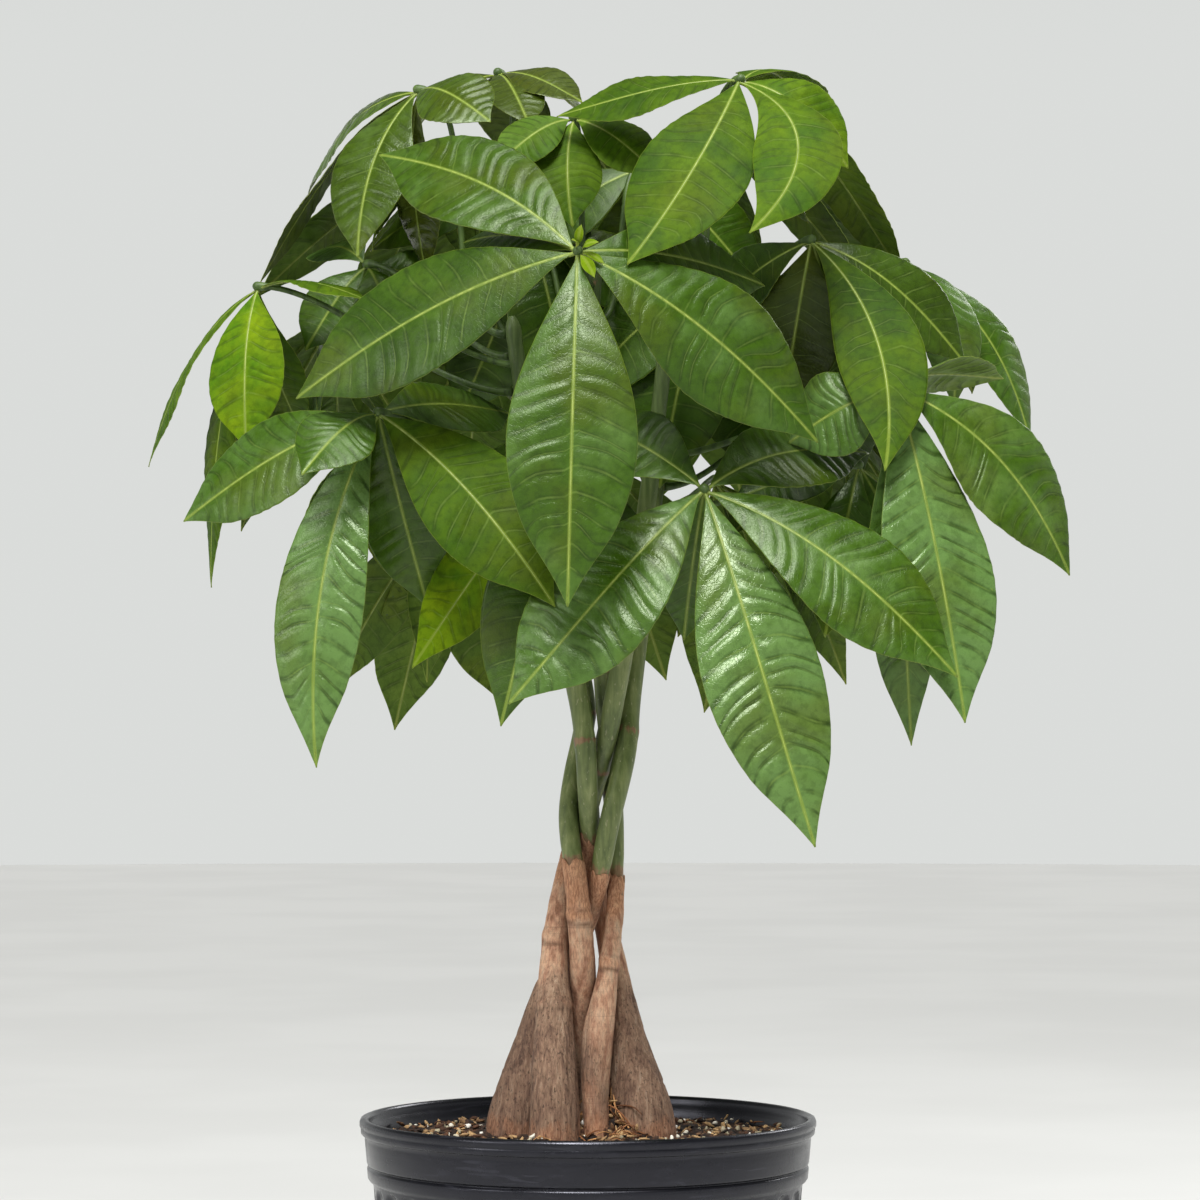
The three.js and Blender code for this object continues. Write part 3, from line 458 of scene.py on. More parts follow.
# ---- the leaves ----
# Each leaf: whether its blades fold along the midrib, its hub, the stem and height that its stalk leaves,
# the way it faces, and its blades. Each blade: the tip from the hub, the width, how far it arches up and
# bows sideways, and a facing of its own. One that ends early is straight and faces as its leaf does.
LEAVES = [
    ("leaf_front_centre", FOLDED, (-5, -150, 705), 4, 610, (0, -1, 0.5), [
        (-5, -35, -187, 68, 12), (-151, 50, -74, 68, 10, 4), (127, 25, -99, 67, 10, -5),
        (-108, 75, 60, 62, 8, 7), (101, 75, -11, 52, 10), (-63, 90, 14, 40, 8),
    ]),
    ("leaf_top_right", FOLDED, (83, -70, 807), 1, 668, FRONT, [
        (-62, -80, -109, 62, 8, -7), (2, -75, -92, 48, 8, -28), (58, -10, -50, 48, 12),
        (96, 80, -103, 58, 14, -8, (0.9, 0.55, 0.6)), (-100, 10, -19, 42, 6, -4, (0, -0.7, 1)),
        (43, 90, -6, 50, 12, 0, (0.2, 0.2, 1)),
    ]),
    ("leaf_low_centre", FOLDED, (62, -118, 582), 1, 556, (0, -1, 0.75), [
        (56, -50, -188, 64, 12, 2), (-103, -35, -114, 68, 10, -2), (132, -25, -100, 64, 12, -5),
        (-10, 50, -80, 34, 4), (91, 56, 22, 54, 8, -6, (0, -1, 0.8)), (-72, 60, 45, 50, 6),
    ]),
    ("leaf_right", FOLDED, (166, -95, 638), 1, 604, (0.25, -1, 0.6), [
        (33, -35, -180, 62, 10, -2), (94, 15, -101, 60, 10, -10), (64, 74, 10, 50, 8, -6, (0.2, 0.8, 1)),
        (10, 35, -193, 42, 6, 3), (-58, 55, -30, 50, 8),
    ]),
    ("leaf_left", FOLDED, (-113, -85, 625), 3, 590, (-0.2, -1, 0.6), [
        (96, -50, -106, 60, 10, -5), (-107, 25, -58, 56, 10), (-31, -25, -191, 50, 10, 11),
        (26, 30, -105, 46, 6), (-38, -40, -36, 44, 8), (70, 75, 4, 48, 6),
    ]),
    ("leaf_far_left", FOLDED, (-185, 0, 701), 3, 640, (-0.5, -1, 0.9), [
        (-3, -35, -94, 48, 8), (-63, 20, -100, 38, 10, 4, (-1, -0.35, 0.8)),
        (64, -45, -12, 36, 6, 0, (0, -0.1, 1)), (-28, 25, -168, 40, 8, 3, (-1, -0.6, 0.6)),
        (21, 55, -78, 40, 6),
    ]),
    ("leaf_top_left", FOLDED, (-95, -10, 810), 3, 672, (-0.4, -0.6, 0.9), [
        (-31, -40, -98, 48, 8, 6, (-0.4, -1, 0.8)), (-90, 20, -107, 44, 12, 12, (-1, 0.1, 0.8)),
        (42, -50, -25, 44, 8), (4, 35, -103, 40, 6), (-66, 70, -50, 46, 12),
    ]),
    ("leaf_crown", PLAIN, (-51, 20, 824), 2, 690, (0, -0.6, 1), [
        (19, -55, -38, 32, 6), (48, -35, -22, 34, 6), (-58, 30, -36, 44, 8), (10, 96, -40, 46, 10),
        (68, 52, -36, 44, 10),
    ]),
    ("leaf_crown_front", FOLDED, (-8, -42, 790), 4, 700, FRONT, [
        (0, -30, -64, 38, 6, 3), (-42, -22, -30, 34, 6), (46, -18, -34, 36, 6), (34, 30, -8, 28, 6),
    ]),
    ("leaf_inner_right", PLAIN, (123, -40, 723), 0, 640, FRONT, [
        (34, -62, -132, 48, 8, -16), (-16, 6, -96, 52, 6), (30, 34, -128, 56, 8),
        (60, 70, -40, 46, 10, 0, (0.3, -0.2, 1)), (-66, 40, -50, 50, 8), (86, 6, -70, 48, 10, -4),
    ]),
    ("leaf_far_right", FOLDED, (181, 45, 719), 0, 655, (0.6, -1, 0.9), [
        (70, -10, -104, 40, 10, -10), (24, -40, -86, 42, 8), (44, 66, -70, 46, 12, 0, (0.8, 0.4, 1)),
        (-30, 66, -44, 44, 10, 0, (0, 0.4, 1)),
    ]),
    ("leaf_inner_low", PLAIN, (-8, -84, 602), 4, 572, FRONT, [
        (-38, -30, -146, 52, 8), (-87, 20, -115, 48, 8), (40, -6, -96, 44, 6), (-66, 40, -16, 42, 6),
    ]),
    ("leaf_inner_side", PLAIN, (150, -22, 600), 0, 575, FRONT, [
        (-70, -16, -20, 40, 6), (-20, -18, -96, 44, 6), (50, 4, -110, 44, 8),
        (40, 60, -60, 44, 8, 0, (0.6, 0.2, 1)),
    ]),
    ("leaf_inner_left", PLAIN, (-125, 25, 716), 3, 660, FRONT, [
        (-34, -12, -50, 38, 6), (20, -20, -48, 38, 6), (50, 6, -10, 40, 8), (-30, 44, 12, 38, 8),
    ]),
    ("leaf_inner_back", PLAIN, (-34, 40, 742), 4, 664, FRONT, [
        (-42, -12, -112, 60, 8), (26, -18, -112, 54, 8), (88, 4, -58, 52, 8), (-92, 20, -14, 48, 8),
    ]),
    ("leaf_inner_middle", PLAIN, (66, 14, 700), 0, 612, FRONT, [
        (-26, -12, -112, 56, 8), (44, -8, -110, 56, 8), (-74, 30, -64, 54, 8), (82, 20, -20, 48, 8),
        (20, 70, -10, 48, 8),
    ]),
    ("leaf_inner_high", PLAIN, (30, 34, 772), 4, 682, FRONT, [
        (-18, -14, -108, 56, 8), (70, 0, -72, 52, 8), (-72, 10, -50, 48, 8),
    ]),
]
# Leaves round the back: the hub's azimuth, distance out and height, the blades' length and droop, and the
# stem and height that the stalk leaves.
BACK_LEAVES = [
    (20, 140, 640, 150, 58, 0, 590), (52, 120, 598, 158, 62, 0, 556), (88, 128, 612, 156, 60, 2, 560),
    (124, 126, 592, 160, 64, 2, 578), (160, 132, 622, 150, 60, 2, 600), (68, 172, 704, 150, 52, 0, 620),
    (108, 176, 712, 156, 54, 2, 640), (146, 170, 700, 150, 52, 2, 660), (40, 104, 786, 138, 40, 0, 676),
    (92, 92, 796, 142, 42, 4, 706), (138, 100, 780, 136, 40, 2, 674),
]
# Their blades: the turn from the leaf's heading, the share of its length, and the width as a share of that.
FAN = [(0, 1, 0.37), (50, 0.93, 0.36), (-50, 0.9, 0.36), (104, 0.74, 0.35), (-102, 0.7, 0.35),
       (172, 0.62, 0.4)]


def leaf_of(name, folded, hub, stem, start, face, blades, depth=(0, 1, 0)):
    given = [(b[:3], *b[3:], *(0, face)[len(b) - 5:]) for b in blades]
    return {"name": name, "folded": folded, "hub": np.array(hub, float), "stem": stem, "start": start,
            "depth": np.array(depth, float), "blades": given}


def back_leaf(index, azimuth, out, up, size, droop, stem, start):
    blades = []
    for k, (turn, share, width) in enumerate(FAN):
        heading = math.radians(azimuth + turn + 7 * math.sin(3 * index + 2 * k))
        fall = math.radians(droop + 9 * math.sin(2 * index + 5 * k))
        length = size * share
        reach = length * math.cos(fall)
        tip = (reach * math.cos(heading), reach * math.sin(heading), -length * math.sin(fall))
        blades.append((*tip, length * width, 11, 3 * math.sin(index + k)))
    x, y = math.cos(math.radians(azimuth)), math.sin(math.radians(azimuth))
    name = f"leaf_back_{index + 1}"
    return leaf_of(name, PLAIN, (out * x, out * y, up), stem, start, (x, y, 0.9), blades, (x, y, 0))


LEAVES = [leaf_of(*leaf) for leaf in LEAVES]
LEAVES += [back_leaf(k, *given) for k, given in enumerate(BACK_LEAVES)]


# ---- the stems ----
# Each stem: its phase in the plait, its tip, where bark gives way to green skin, its way up from the soil
# as x and y at LOW_HEIGHTS, and its radius by height.
LOW_HEIGHTS = (234, 250, 278, 297, 319, 336, 353, 370, 385)
STEMS = [
    {"name": "back_left", "phase": 95, "tip": (46, 34, 690), "split": 374,
     "low": [(-41, 9), (-35.5, 10.5), (-29, 13.5), (-24.5, 14), (-17, 13.4), (-5, 8.5), (2.3, 1.1),
             (6.2, -4), (8.6, -9)],
     "radii": [(226, 16.6), (250, 15.2), (278, 12.2), (297, 10.5), (319, 9), (336, 6.9), (353, 6),
               (385, 5.8), (480, 5.9), (690, 4)]},
    {"name": "front_left", "phase": 167, "tip": (44, -32, 676), "split": 384,
     "low": [(-18.5, -21), (-18.5, -19.5), (-18.8, -15.5), (-19, -11), (-19, -5), (-18, -1), (-16.5, 1),
             (-12.6, 4.8), (-9.2, 9.6)],
     "radii": [(226, 14.8), (250, 13.6), (278, 12.1), (297, 10.2), (319, 8.4), (336, 7.2), (353, 6.5),
               (372, 6), (480, 5.9), (676, 4)]},
    {"name": "middle", "phase": 239, "tip": (-38, 38, 700), "split": 379,
     "low": [(-2, 23), (-2, 19), (-3, 9), (-2.5, 1), (-2.5, -8.5), (-3.5, -10.5), (-4.8, -10.8),
             (-6.8, -9.2), (-8.8, -6.2)],
     "radii": [(226, 10), (250, 9.6), (278, 8.4), (297, 7.4), (319, 7.3), (353, 6.9), (372, 6.6),
               (385, 5.8), (480, 5.9), (700, 4)]},
    {"name": "right", "phase": 311, "tip": (-42, -26, 682), "split": 393,
     "low": [(31.5, 0), (28, 1), (21.7, 4.5), (18.5, 7.5), (14.5, 10), (11.5, 13), (7, 14), (1.2, 11.4),
             (2.3, 3.6)],
     "radii": [(226, 18.2), (250, 16.8), (278, 12), (297, 9.3), (319, 7.6), (336, 6.6), (353, 6.2),
               (385, 5.9), (480, 5.9), (682, 4)]},
    {"name": "front_middle", "phase": 23, "tip": (2, -4, 728), "split": 373,
     "low": [(5, -15), (3.8, -14), (4.2, -13), (7.8, -13), (11.3, -11), (13.5, -8), (15.5, -3), (15.3, 4),
             (14.8, 7)],
     "radii": [(226, 7.4), (250, 7.4), (278, 9.4), (297, 8), (319, 5.6), (336, 5.4), (372, 5.1),
               (400, 5.5), (480, 5.9), (728, 4)]},
]
PLAIT_LEAN = [(226, 0), (369, -0.5), (414, 4), (447, 8), (486, 9), (720, 5)]
ROUGH_STEMS = ("back_left", "front_left", "right")
# How much painted shade darkens the rough bark of each stem.
ROUGH_BARK_SHADE = {"back_left": 0.8, "front_left": 0.55, "right": 0.6, "front_middle": 1.0, "middle": 1.0}
# Knots on the bark and old leaf scars on the green part, as heights.
KNOTS = {"front_left": (337, 300), "middle": (349,), "front_middle": (324,)}
SCARS = {"right": (447, 520), "middle": (462, 540), "front_left": (431, 505), "back_left": (452,),
         "front_middle": (418, 486)}
SNUG = 0.99  # a round stem against the corners of its eight-sided solid
BARK_FOOT = 214
BARK_STEP = 1.8
BARK_SIDES = 84
GREEN_SIDES = 32
BARK_LIFT = 0.4  # how far the torn edge of the bark stands off the green skin


def plaited(stem, height):
    phase = math.radians(stem["phase"]) + 2 * np.pi * (PLAIT_PHASE_HEIGHT - height) / PLAIT_PITCH
    across = np.sin(phase) - 0.08 * np.sin(3 * phase)
    x = along(PLAIT_LEAN, height) + PLAIT_HALF_WIDTH * across
    return np.stack([x, PLAIT_HALF_DEPTH * np.sin(2 * phase)], -1)


def stem_line(stem, height):
    height = np.asarray(height, float)
    way = np.array([*stem["low"], plaited(stem, PLAIT_LOW)])
    low = np.stack([np.interp(height, (*LOW_HEIGHTS, PLAIT_LOW), axis) for axis in way.T], -1)
    start = plaited(stem, PLAIT_HIGH)
    t = (height - PLAIT_HIGH) / (stem["tip"][2] - PLAIT_HIGH)
    spread = (t * (1.35 - 0.35 * t))[..., None]
    high = start + (np.array(stem["tip"][:2]) - start) * spread
    h = height[..., None]
    flat = np.where(h < PLAIT_LOW, low, np.where(h > PLAIT_HIGH, high, plaited(stem, height)))
    return np.concatenate([flat, h], -1)


def stem_at(stem, height):
    height = np.asarray(height, float)
    point = 2 * stem_line(stem, height) + stem_line(stem, height - EASE) + stem_line(stem, height + EASE)
    return np.concatenate([point[..., :2] / 4, height[..., None]], -1)


def stem_middle(stem, height):
    """The stem's line with its corners rounded off."""
    height = np.asarray(height, float)
    total = sum(stem_at(stem, height + step) for step in (-10, -5, 0, 5, 10))
    return np.concatenate([total[..., :2] / 5, height[..., None]], -1)


def stem_radius(stem, height):
    return sum(along(stem["radii"], height + step) for step in (-9, -3, 3, 9)) / 4


def stem_surface(stem, height, radius):
    """Points on a stem for a grid of heights and radii, one column for each angle."""
    tangent = unit(stem_middle(stem, height + 2) - stem_middle(stem, height - 2))
    around = ring(height.shape[1], tangent, unit(np.cross(tangent, (1.0, 0.0, 0.0))))
    return stem_middle(stem, height) + radius[..., None] * around


def round_places(radius, height, seed):
    """Places on a straightened stem for noise to be read at."""
    return upright(radius, height, angles(height.shape[1])) + seed * 37.0


def creases(index, points):
    """How near each point of a stem is to the other stems: 1 where they touch, for painted shade in the
    creases.
    """
    z = points[..., 2]
    gaps = []
    for k, other in enumerate(STEMS):
        if k != index:
            away = points[..., :2] - stem_middle(other, z)[..., :2]
            gaps.append(np.linalg.norm(away, axis=-1) - stem_radius(other, z))
    return np.exp(-np.maximum(np.min(gaps, axis=0), 0) / 4)


def make_bark(stem, index):
    name, split = stem["name"], stem["split"]
    rough_stem = name in ROUGH_STEMS
    edge = split - np.array([12, 10, 8, 6, 4, 2.2, 0.8, 0])
    heights = np.append(np.arange(BARK_FOOT, split - 13, BARK_STEP), edge)
    h = np.repeat(heights[:, None], BARK_SIDES, 1)
    radius = SNUG * stem_radius(stem, h)
    places = round_places(radius, h, index)
    # The upper edge is torn: the last rows swing up and down with the angle.
    torn = 5.5 * noise(places[-1:] / (3.4, 3.4, 30), 5) + 2.2 * noise(places[-1:] / (1.3, 1.3, 30), 6)
    h = h + torn * smooth((h - split + 12) / 12)
    rough = smooth((345 - h) / 70) if rough_stem else 0.5 * smooth((330 - h) / 80)
    rough = np.clip(rough + 0.25 * noise(places / (9, 9, 22), 8) * (rough > 0.02), 0, 1)
    # Rough bark has furrows and plates, smooth bark has faint rings, and both are lumpy.
    furrow = 1 - np.abs(noise(places / (2.6, 2.6, 17), 1))
    cracks = smooth((furrow - 0.72) / 0.28)
    plates = noise(places / (7, 7, 20), 2)
    lumps = noise(places / (15, 15, 34), 3)
    level = np.stack([0 * h, 0 * h, h / 9 + index * 5], -1)
    rounds = smooth((np.abs(noise(level, 4)) - 0.5) / 0.3)
    relief = rough * (0.55 * plates - 0.95 * cracks) + 0.45 * lumps - (1 - rough) * 0.22 * rounds
    relief = relief + 0.16 * noise(places / (1.6, 1.6, 5), 7)
    lift = BARK_LIFT * smooth((h - split + 16) / 14)
    radius = radius + relief + lift
    # It is redder at the soil and below the torn edge.
    warm = 0.42 * smooth((246 - h) / 16) + 0.5 * smooth((h - split + 34) / 26)
    warm = warm + (0.16 if rough_stem else 0.3)
    crack = 0 * h
    for knot in KNOTS.get(name, ()):
        up = h - knot - 2.5 * noise(places / 8, 14)
        radius = radius + 0.8 * bell(up, 3.2)
        warm = warm + 0.3 * bell(up - 1, 3.5)
        crack = crack + 0.9 * bell(up + 3.6, 1.1) + 0.5 * bell(up - 3.8, 0.8)
    # Three more rings fold the edge inwards.
    edge_h, edge_r = h[-1:], radius[-1:]
    folded_h = np.concatenate([h, edge_h + 0.15, edge_h - 0.3, edge_h - 4])
    folded_r = np.concatenate([radius, edge_r - 0.25, edge_r - 0.7, edge_r - 2])
    pad = ((0, 3), (0, 0))
    shape = Shape()
    rings = stem_surface(stem, folded_h, folded_r)
    rough, warm, crack = (np.pad(value, pad, "edge") for value in (rough, warm, crack))
    # Painted shade: darker where the stem presses on the others, and over its rough bark as given for each
    # stem; the knots' cracks are dark lines in the bark itself.
    dark = np.maximum(creases(index, rings), ROUGH_BARK_SHADE[name] * rough)
    add_tube(shape, rings, rough=rough, warm=warm, crease=np.maximum(dark, crack))
    piece(f"{name}_stem_bark", shape, [BARK], "bark", f"stem_{name}_bark")


def make_green(stem, index):
    name, split, top = stem["name"], stem["split"], stem["tip"][2]
    heights = np.append(np.arange(split - 13, top - 6, 2.6), [top - 6, top - 3, top - 1, top])
    h = np.repeat(heights[:, None], GREEN_SIDES, 1)
    taper = along([(0, 1), (top - 6, 1), (top - 3, 0.82), (top, 0.42)], h)
    radius = SNUG * stem_radius(stem, h) * taper
    places = round_places(radius, h, index + 9)
    radius = radius - 0.5 * smooth((split + 12 - h) / 12)
    warm = 0.5 * smooth((split + 10 - h) / 9)
    for leaf in LEAVES:
        if leaf["stem"] == index:
            near = bell(h - leaf["start"], 4.5)
            radius = radius + 0.55 * near
            warm = warm + 0.22 * near
    for scar in SCARS[name]:
        near = bell(h - scar - 1.5 * noise(places / 6, 11), 3.2)
        radius = radius + 0.5 * near
        warm = warm + 0.5 * near
    radius = radius + 0.3 * noise(places / (9, 9, 40), 12) + 0.1 * noise(places / (2, 2, 14), 13)
    shape = Shape()
    rings = stem_surface(stem, h, radius)
    # Painted shade: darker in the creases against the other stems and up among the leaves.
    add_tube(shape, rings, warm=warm, fresh=smooth((h - 540) / 70), crease=creases(index, rings))
    piece(f"{name}_stem_green", shape, [GREEN], "green_stem", f"stem_{name}_green")


for index, stem in enumerate(STEMS):
    make_bark(stem, index)
    make_green(stem, index)


# ---- the pot ----
# The pot's outside from the base up to the lip and its inside back down, as radius and height. From the top
# of the flutes over the lip and down to the soil's ledge it is given as radius and depth below the rim.
LIP = [
    (118.4, 50), (119.2, 38), (119.6, 35.6), (121.4, 34.5), (122.4, 33), (122.8, 28.2), (122.5, 27.3),
    (121.2, 26.8), (121.2, 26), (122.6, 25.4), (123, 24.4), (124.1, 12), (123.8, 9.8), (125.4, 9.2),
    (126.2, 8.4), (126.4, 5.6), (126, 5.2), (RIM_RADIUS, 4.4), (RIM_RADIUS, 2.2), (RIM_RADIUS - 0.7, 0.6),
    (RIM_RADIUS - 2.2, 0), (RIM_RADIUS - 4.2, 0.5), (122.2, 2.4), (121.8, 5.6), (120.4, 6.6), (120, 23.6),
    (117.6, 26), (117.2, 30),
]
POT_PROFILE = [
    (BASE_RADIUS - 3, 0), (BASE_RADIUS - 1, 0.6), (BASE_RADIUS, 4), (BASE_RADIUS + 0.7, 14),
    (BASE_RADIUS + 1.3, 22), *((radius, POT_HEIGHT - down) for radius, down in LIP),
    (BASE_RADIUS - WALL, 6), (BASE_RADIUS - WALL - 3, WALL),
]
FLUTED = (22, POT_HEIGHT - 38)  # the heights between which the wall has flutes
AROUND_A_FLUTE = 12
FLUTE_ARCH = 9
FLUTE_TOP = POT_HEIGHT - 36.5


def eased_profile():
    """The profile with more points along it, and with how deep the flutes are at each."""
    corners = [(radius, height, FLUTED[0] <= height <= FLUTED[1]) for radius, height in POT_PROFILE]
    rows = corners[:1]
    for a, b in zip(corners, corners[1:]):
        steps = max(1, round(math.dist(a[:2], b[:2]) / 7))
        if a[2] and b[1] > POT_HEIGHT - 60:
            steps = 7
        rows += [tuple(np.array(a) + (np.array(b) - a) * k / steps) for k in range(1, steps + 1)]
    return np.array(rows)


def make_pot():
    rows = eased_profile()
    sides = FLUTES * AROUND_A_FLUTE
    angle = angles(sides)
    turn = np.abs(np.mod(angle * FLUTES / (2 * np.pi), 1) - 0.5) * 2
    channel = smooth((0.86 - turn) / 0.5)
    radius, height, fluted = (rows[:, k:k + 1] for k in range(3))
    arch = FLUTE_TOP - FLUTE_ARCH * turn ** 2
    inside = smooth((arch - height) / 3) * smooth((height - 14) / 8)
    r = radius - np.where(fluted > 0, FLUTE_DEPTH * channel * inside, 0)
    shape = Shape()
    add_tube(shape, upright(r, height, angle))
    pot = piece("nursery_pot", shape, [POT], "pot", "pot")
    for k in range(DRAIN_HOLES):
        turn_to = 2 * math.pi * (k + 0.5) / DRAIN_HOLES
        line = [(r * math.cos(turn_to), r * math.sin(turn_to), WALL + 7) for r in DRAIN_REACH]
        cutter_shape = Shape()
        add_tube(cutter_shape, tube(line, DRAIN_RADIUS, 32))
        cutter = put("hole", cutter_shape.mesh("hole"))
        cut = pot.modifiers.new("hole", "BOOLEAN")
        cut.operation = "DIFFERENCE"
        cut.object = cutter
        bpy.context.view_layer.update()
        ready = pot.evaluated_get(bpy.context.evaluated_depsgraph_get())
        cut_mesh = bpy.data.meshes.new_from_object(ready)
        pot.modifiers.clear()
        old, pot.data = pot.data, cut_mesh
        bpy.data.meshes.remove(old)
        bpy.data.objects.remove(cutter)


make_pot()


# ---- the soil and what lies on it ----
SOIL_SIDES = 200
SOIL_EDGE = 119.6
HEAP = (12, -2)
HEAP_HEIGHT = 22
HEAP_SPREAD = 260  # the square of its radius
BIT_SUNK = 0.2  # how far a loose bit sinks in, as a share of its height


def soil_height(x, y):
    heap = HEAP_HEIGHT * np.exp(-((x - HEAP[0]) ** 2 + (y - HEAP[1]) ** 2) / HEAP_SPREAD)
    coarse = 1.5 * np.sin(0.083 * x + 1.3) * np.cos(0.071 * y - 0.4)
    fine = 1.1 * np.sin(0.19 * x - 0.16 * y) + 0.8 * np.cos(0.23 * y + 0.11 * x)
    return SOIL_TOP + coarse + fine + heap


def crumbly(x, y):
    flat = np.stack([x, y, np.zeros_like(x)], -1)
    return 1.5 * noise(flat / 6, 21) + 1.0 * noise(flat / 2.6, 22) + 0.5 * noise(flat / 1.3, 23)


def make_soil():
    angle = angles(SOIL_SIDES)
    below = [(98.5, 3.5), (101, 6), (116.6, POT_HEIGHT - 28), (119.4, POT_HEIGHT - 23),
             (SOIL_EDGE, SOIL_TOP - 5)]
    rows = [upright(r, z, angle) for r, z in below]
    for r in np.arange(SOIL_EDGE, 1, -1.7):
        x, y = r * np.cos(angle), r * np.sin(angle)
        inner = smooth((SOIL_EDGE - r) / 13)
        z = (soil_height(x, y) - SOIL_TOP) * inner + SOIL_TOP - 3 * (1 - inner) + crumbly(x, y)
        rows.append(np.stack([x, y, z], -1))
    shape = Shape()
    add_tube(shape, np.array(rows))
    piece("potting_soil", shape, [SOIL], "soil", "soil")


def open_ground(count, spread, middle=(0, 0), seed=1, reach=SOIL_EDGE - 2):
    """Random places on the soil that no stem stands on."""
    draw = np.random.default_rng(seed)
    places = []
    while len(places) < count:
        turn = draw.uniform(0, 2 * np.pi)
        out = spread * math.sqrt(draw.uniform(0, 1))
        x, y = middle[0] + out * math.cos(turn), middle[1] + out * math.sin(turn)
        free = all(math.dist((x, y), s["low"][0]) > along(s["radii"], SOIL_TOP) for s in STEMS)
        if free and math.hypot(x, y) < reach:
            places.append((x, y))
    return places


def turned(draw, flatness):
    """A random turn, mostly about the upright axis where flatness is near 1."""
    tilt = unit(draw.normal(size=3) * (1 - flatness) + np.array([0, 0, 1.0]) * flatness)
    u = unit(np.cross(tilt, draw.normal(size=3)))
    return np.stack([u, np.cross(tilt, u), tilt], 0)


def ball():
    """The rings of a round bit, to be squashed and dented."""
    lift = np.linspace(-0.95, 0.95, 5)[:, None]
    return upright(np.sqrt(1 - lift ** 2), lift, angles(8))


def scatter(name, material, places, size, squash, flatness, dent, seed):
    """Bits of the mix lying about: each a dented ball, stretched and turned its own way."""
    draw = np.random.default_rng(seed)
    shape = Shape()
    form = ball()
    for x, y in places:
        scale = draw.uniform(*size) * np.array([draw.uniform(*ends) for ends in ((0.7, 1.3), *squash)])
        dented = form * (1 + dent * noise(form * 1.7 + draw.uniform(0, 99, 3), 31))[..., None]
        z = soil_height(x, y) + float(crumbly(np.array(x), np.array(y))) + scale[2] * (1 - BIT_SUNK)
        add_tube(shape, dented * scale @ turned(draw, flatness) + (x, y, z), tone=draw.uniform(0, 1))
    piece(name, shape, [material], "soil")


def make_fibres():
    draw = np.random.default_rng(5)
    shape = Shape()
    places = open_ground(110, 30, HEAP, 41) + open_ground(26, 112, (0, 0), 42)
    for x, y in places:
        turn = draw.uniform(0, 2 * np.pi)
        length = draw.uniform(7, 24)
        bend = draw.uniform(-0.5, 0.5)
        rise = draw.uniform(0.1, 0.55) * length * (1 if math.dist((x, y), HEAP) < 26 else 0.25)
        t = np.linspace(0, 1, 9)
        heading = turn + bend * 2 * t
        flat = np.cumsum(np.stack([np.cos(heading), np.sin(heading)], -1) * length / 9, 0) + (x, y)
        flat = flat * np.minimum(1, (SOIL_EDGE - 2) / np.hypot(*flat.T))[:, None]
        z = soil_height(*flat.T) + 0.8 + rise * np.sin(np.pi * t * draw.uniform(0.5, 0.95))
        radius = draw.uniform(0.22, 0.55) * (1 - 0.6 * np.abs(2 * t - 1) ** 2)
        rings = tube(np.column_stack([flat, z]), radius, 6, (0.13, 0.21, 1))
        add_tube(shape, rings, tone=draw.uniform(0.1, 1))
    piece("bark_fibres", shape, [FIBRE], "soil")


make_soil()
grains = open_ground(380, 116, seed=3)
chips = open_ground(1500, 117, seed=4)
heap = open_ground(130, 24, HEAP, 6)
scatter("perlite", PERLITE, grains, (0.6, 2.0), ((0.6, 1), (0.5, 0.9)), 0.2, 0.45, 11)
scatter("bark_chips", CHIP, chips, (0.9, 3.4), ((0.35, 0.8), (0.16, 0.45)), 0.7, 0.5, 12)
scatter("heap_chips", CHIP, heap, (1.6, 4.6), ((0.3, 0.6), (0.14, 0.3)), 0.35, 0.5, 13)
make_fibres()


# ---- leaf blades ----
# Each blade was bent a step or more away from its neighbours where they crossed. The bend that it took is
# found again by trying each one and asking which puts the blade's points where its solid has corners.
TIP_STEPS, ARCH_STEPS = range(-6, 7), range(-3, 4)
STALK_BENDS = [(0, 0), (12, 0), (-12, 0), (0, 14), (0, -14), (24, 0), (-24, 0), (12, 14), (-12, 14),
               (24, -14), (-24, -14), (36, 10), (-36, 10), (0, -28), (0, 28), (48, 0), (-48, 0)]
CORNER_REACH = 0.03
KNUCKLE = 2.7  # where the blades meet at the stalk's end
NOSE = [(0.3, 0.95), (0.6, 0.8), (0.85, 0.53), (1, 0.2)]  # its round end: how far out and how thick
STALK_SWELL = [(0, 1.5), (0.08, 1.1), (0.32, 1), (0.62, 0.95), (0.94, 0.95)]
HALF_COLUMNS = {FOLDED: (0, 0.035, 0.1, 0.24, 0.4, 0.56, 0.72, 0.87, 0.965, 1),
                PLAIN: (0, 0.06, 0.25, 0.5, 0.75, 0.94, 1)}
ROWS_A_VEIN = {FOLDED: 4, PLAIN: 3}
VEIN_SWEEP = 0.085  # how far a side vein runs forward to the margin, as a share of the blade's length
SKIN = 0.22  # half the thickness of a blade
SOFT_FROM = 0.24  # how young a blade is when its upper face has no wax on it yet
QUILTING = 0.029  # how high the blade swells between two side veins, as a share of its half width


def share_of(u):
    return np.sin(np.pi * np.clip(u, 0, 1) ** 1.15) ** 0.95


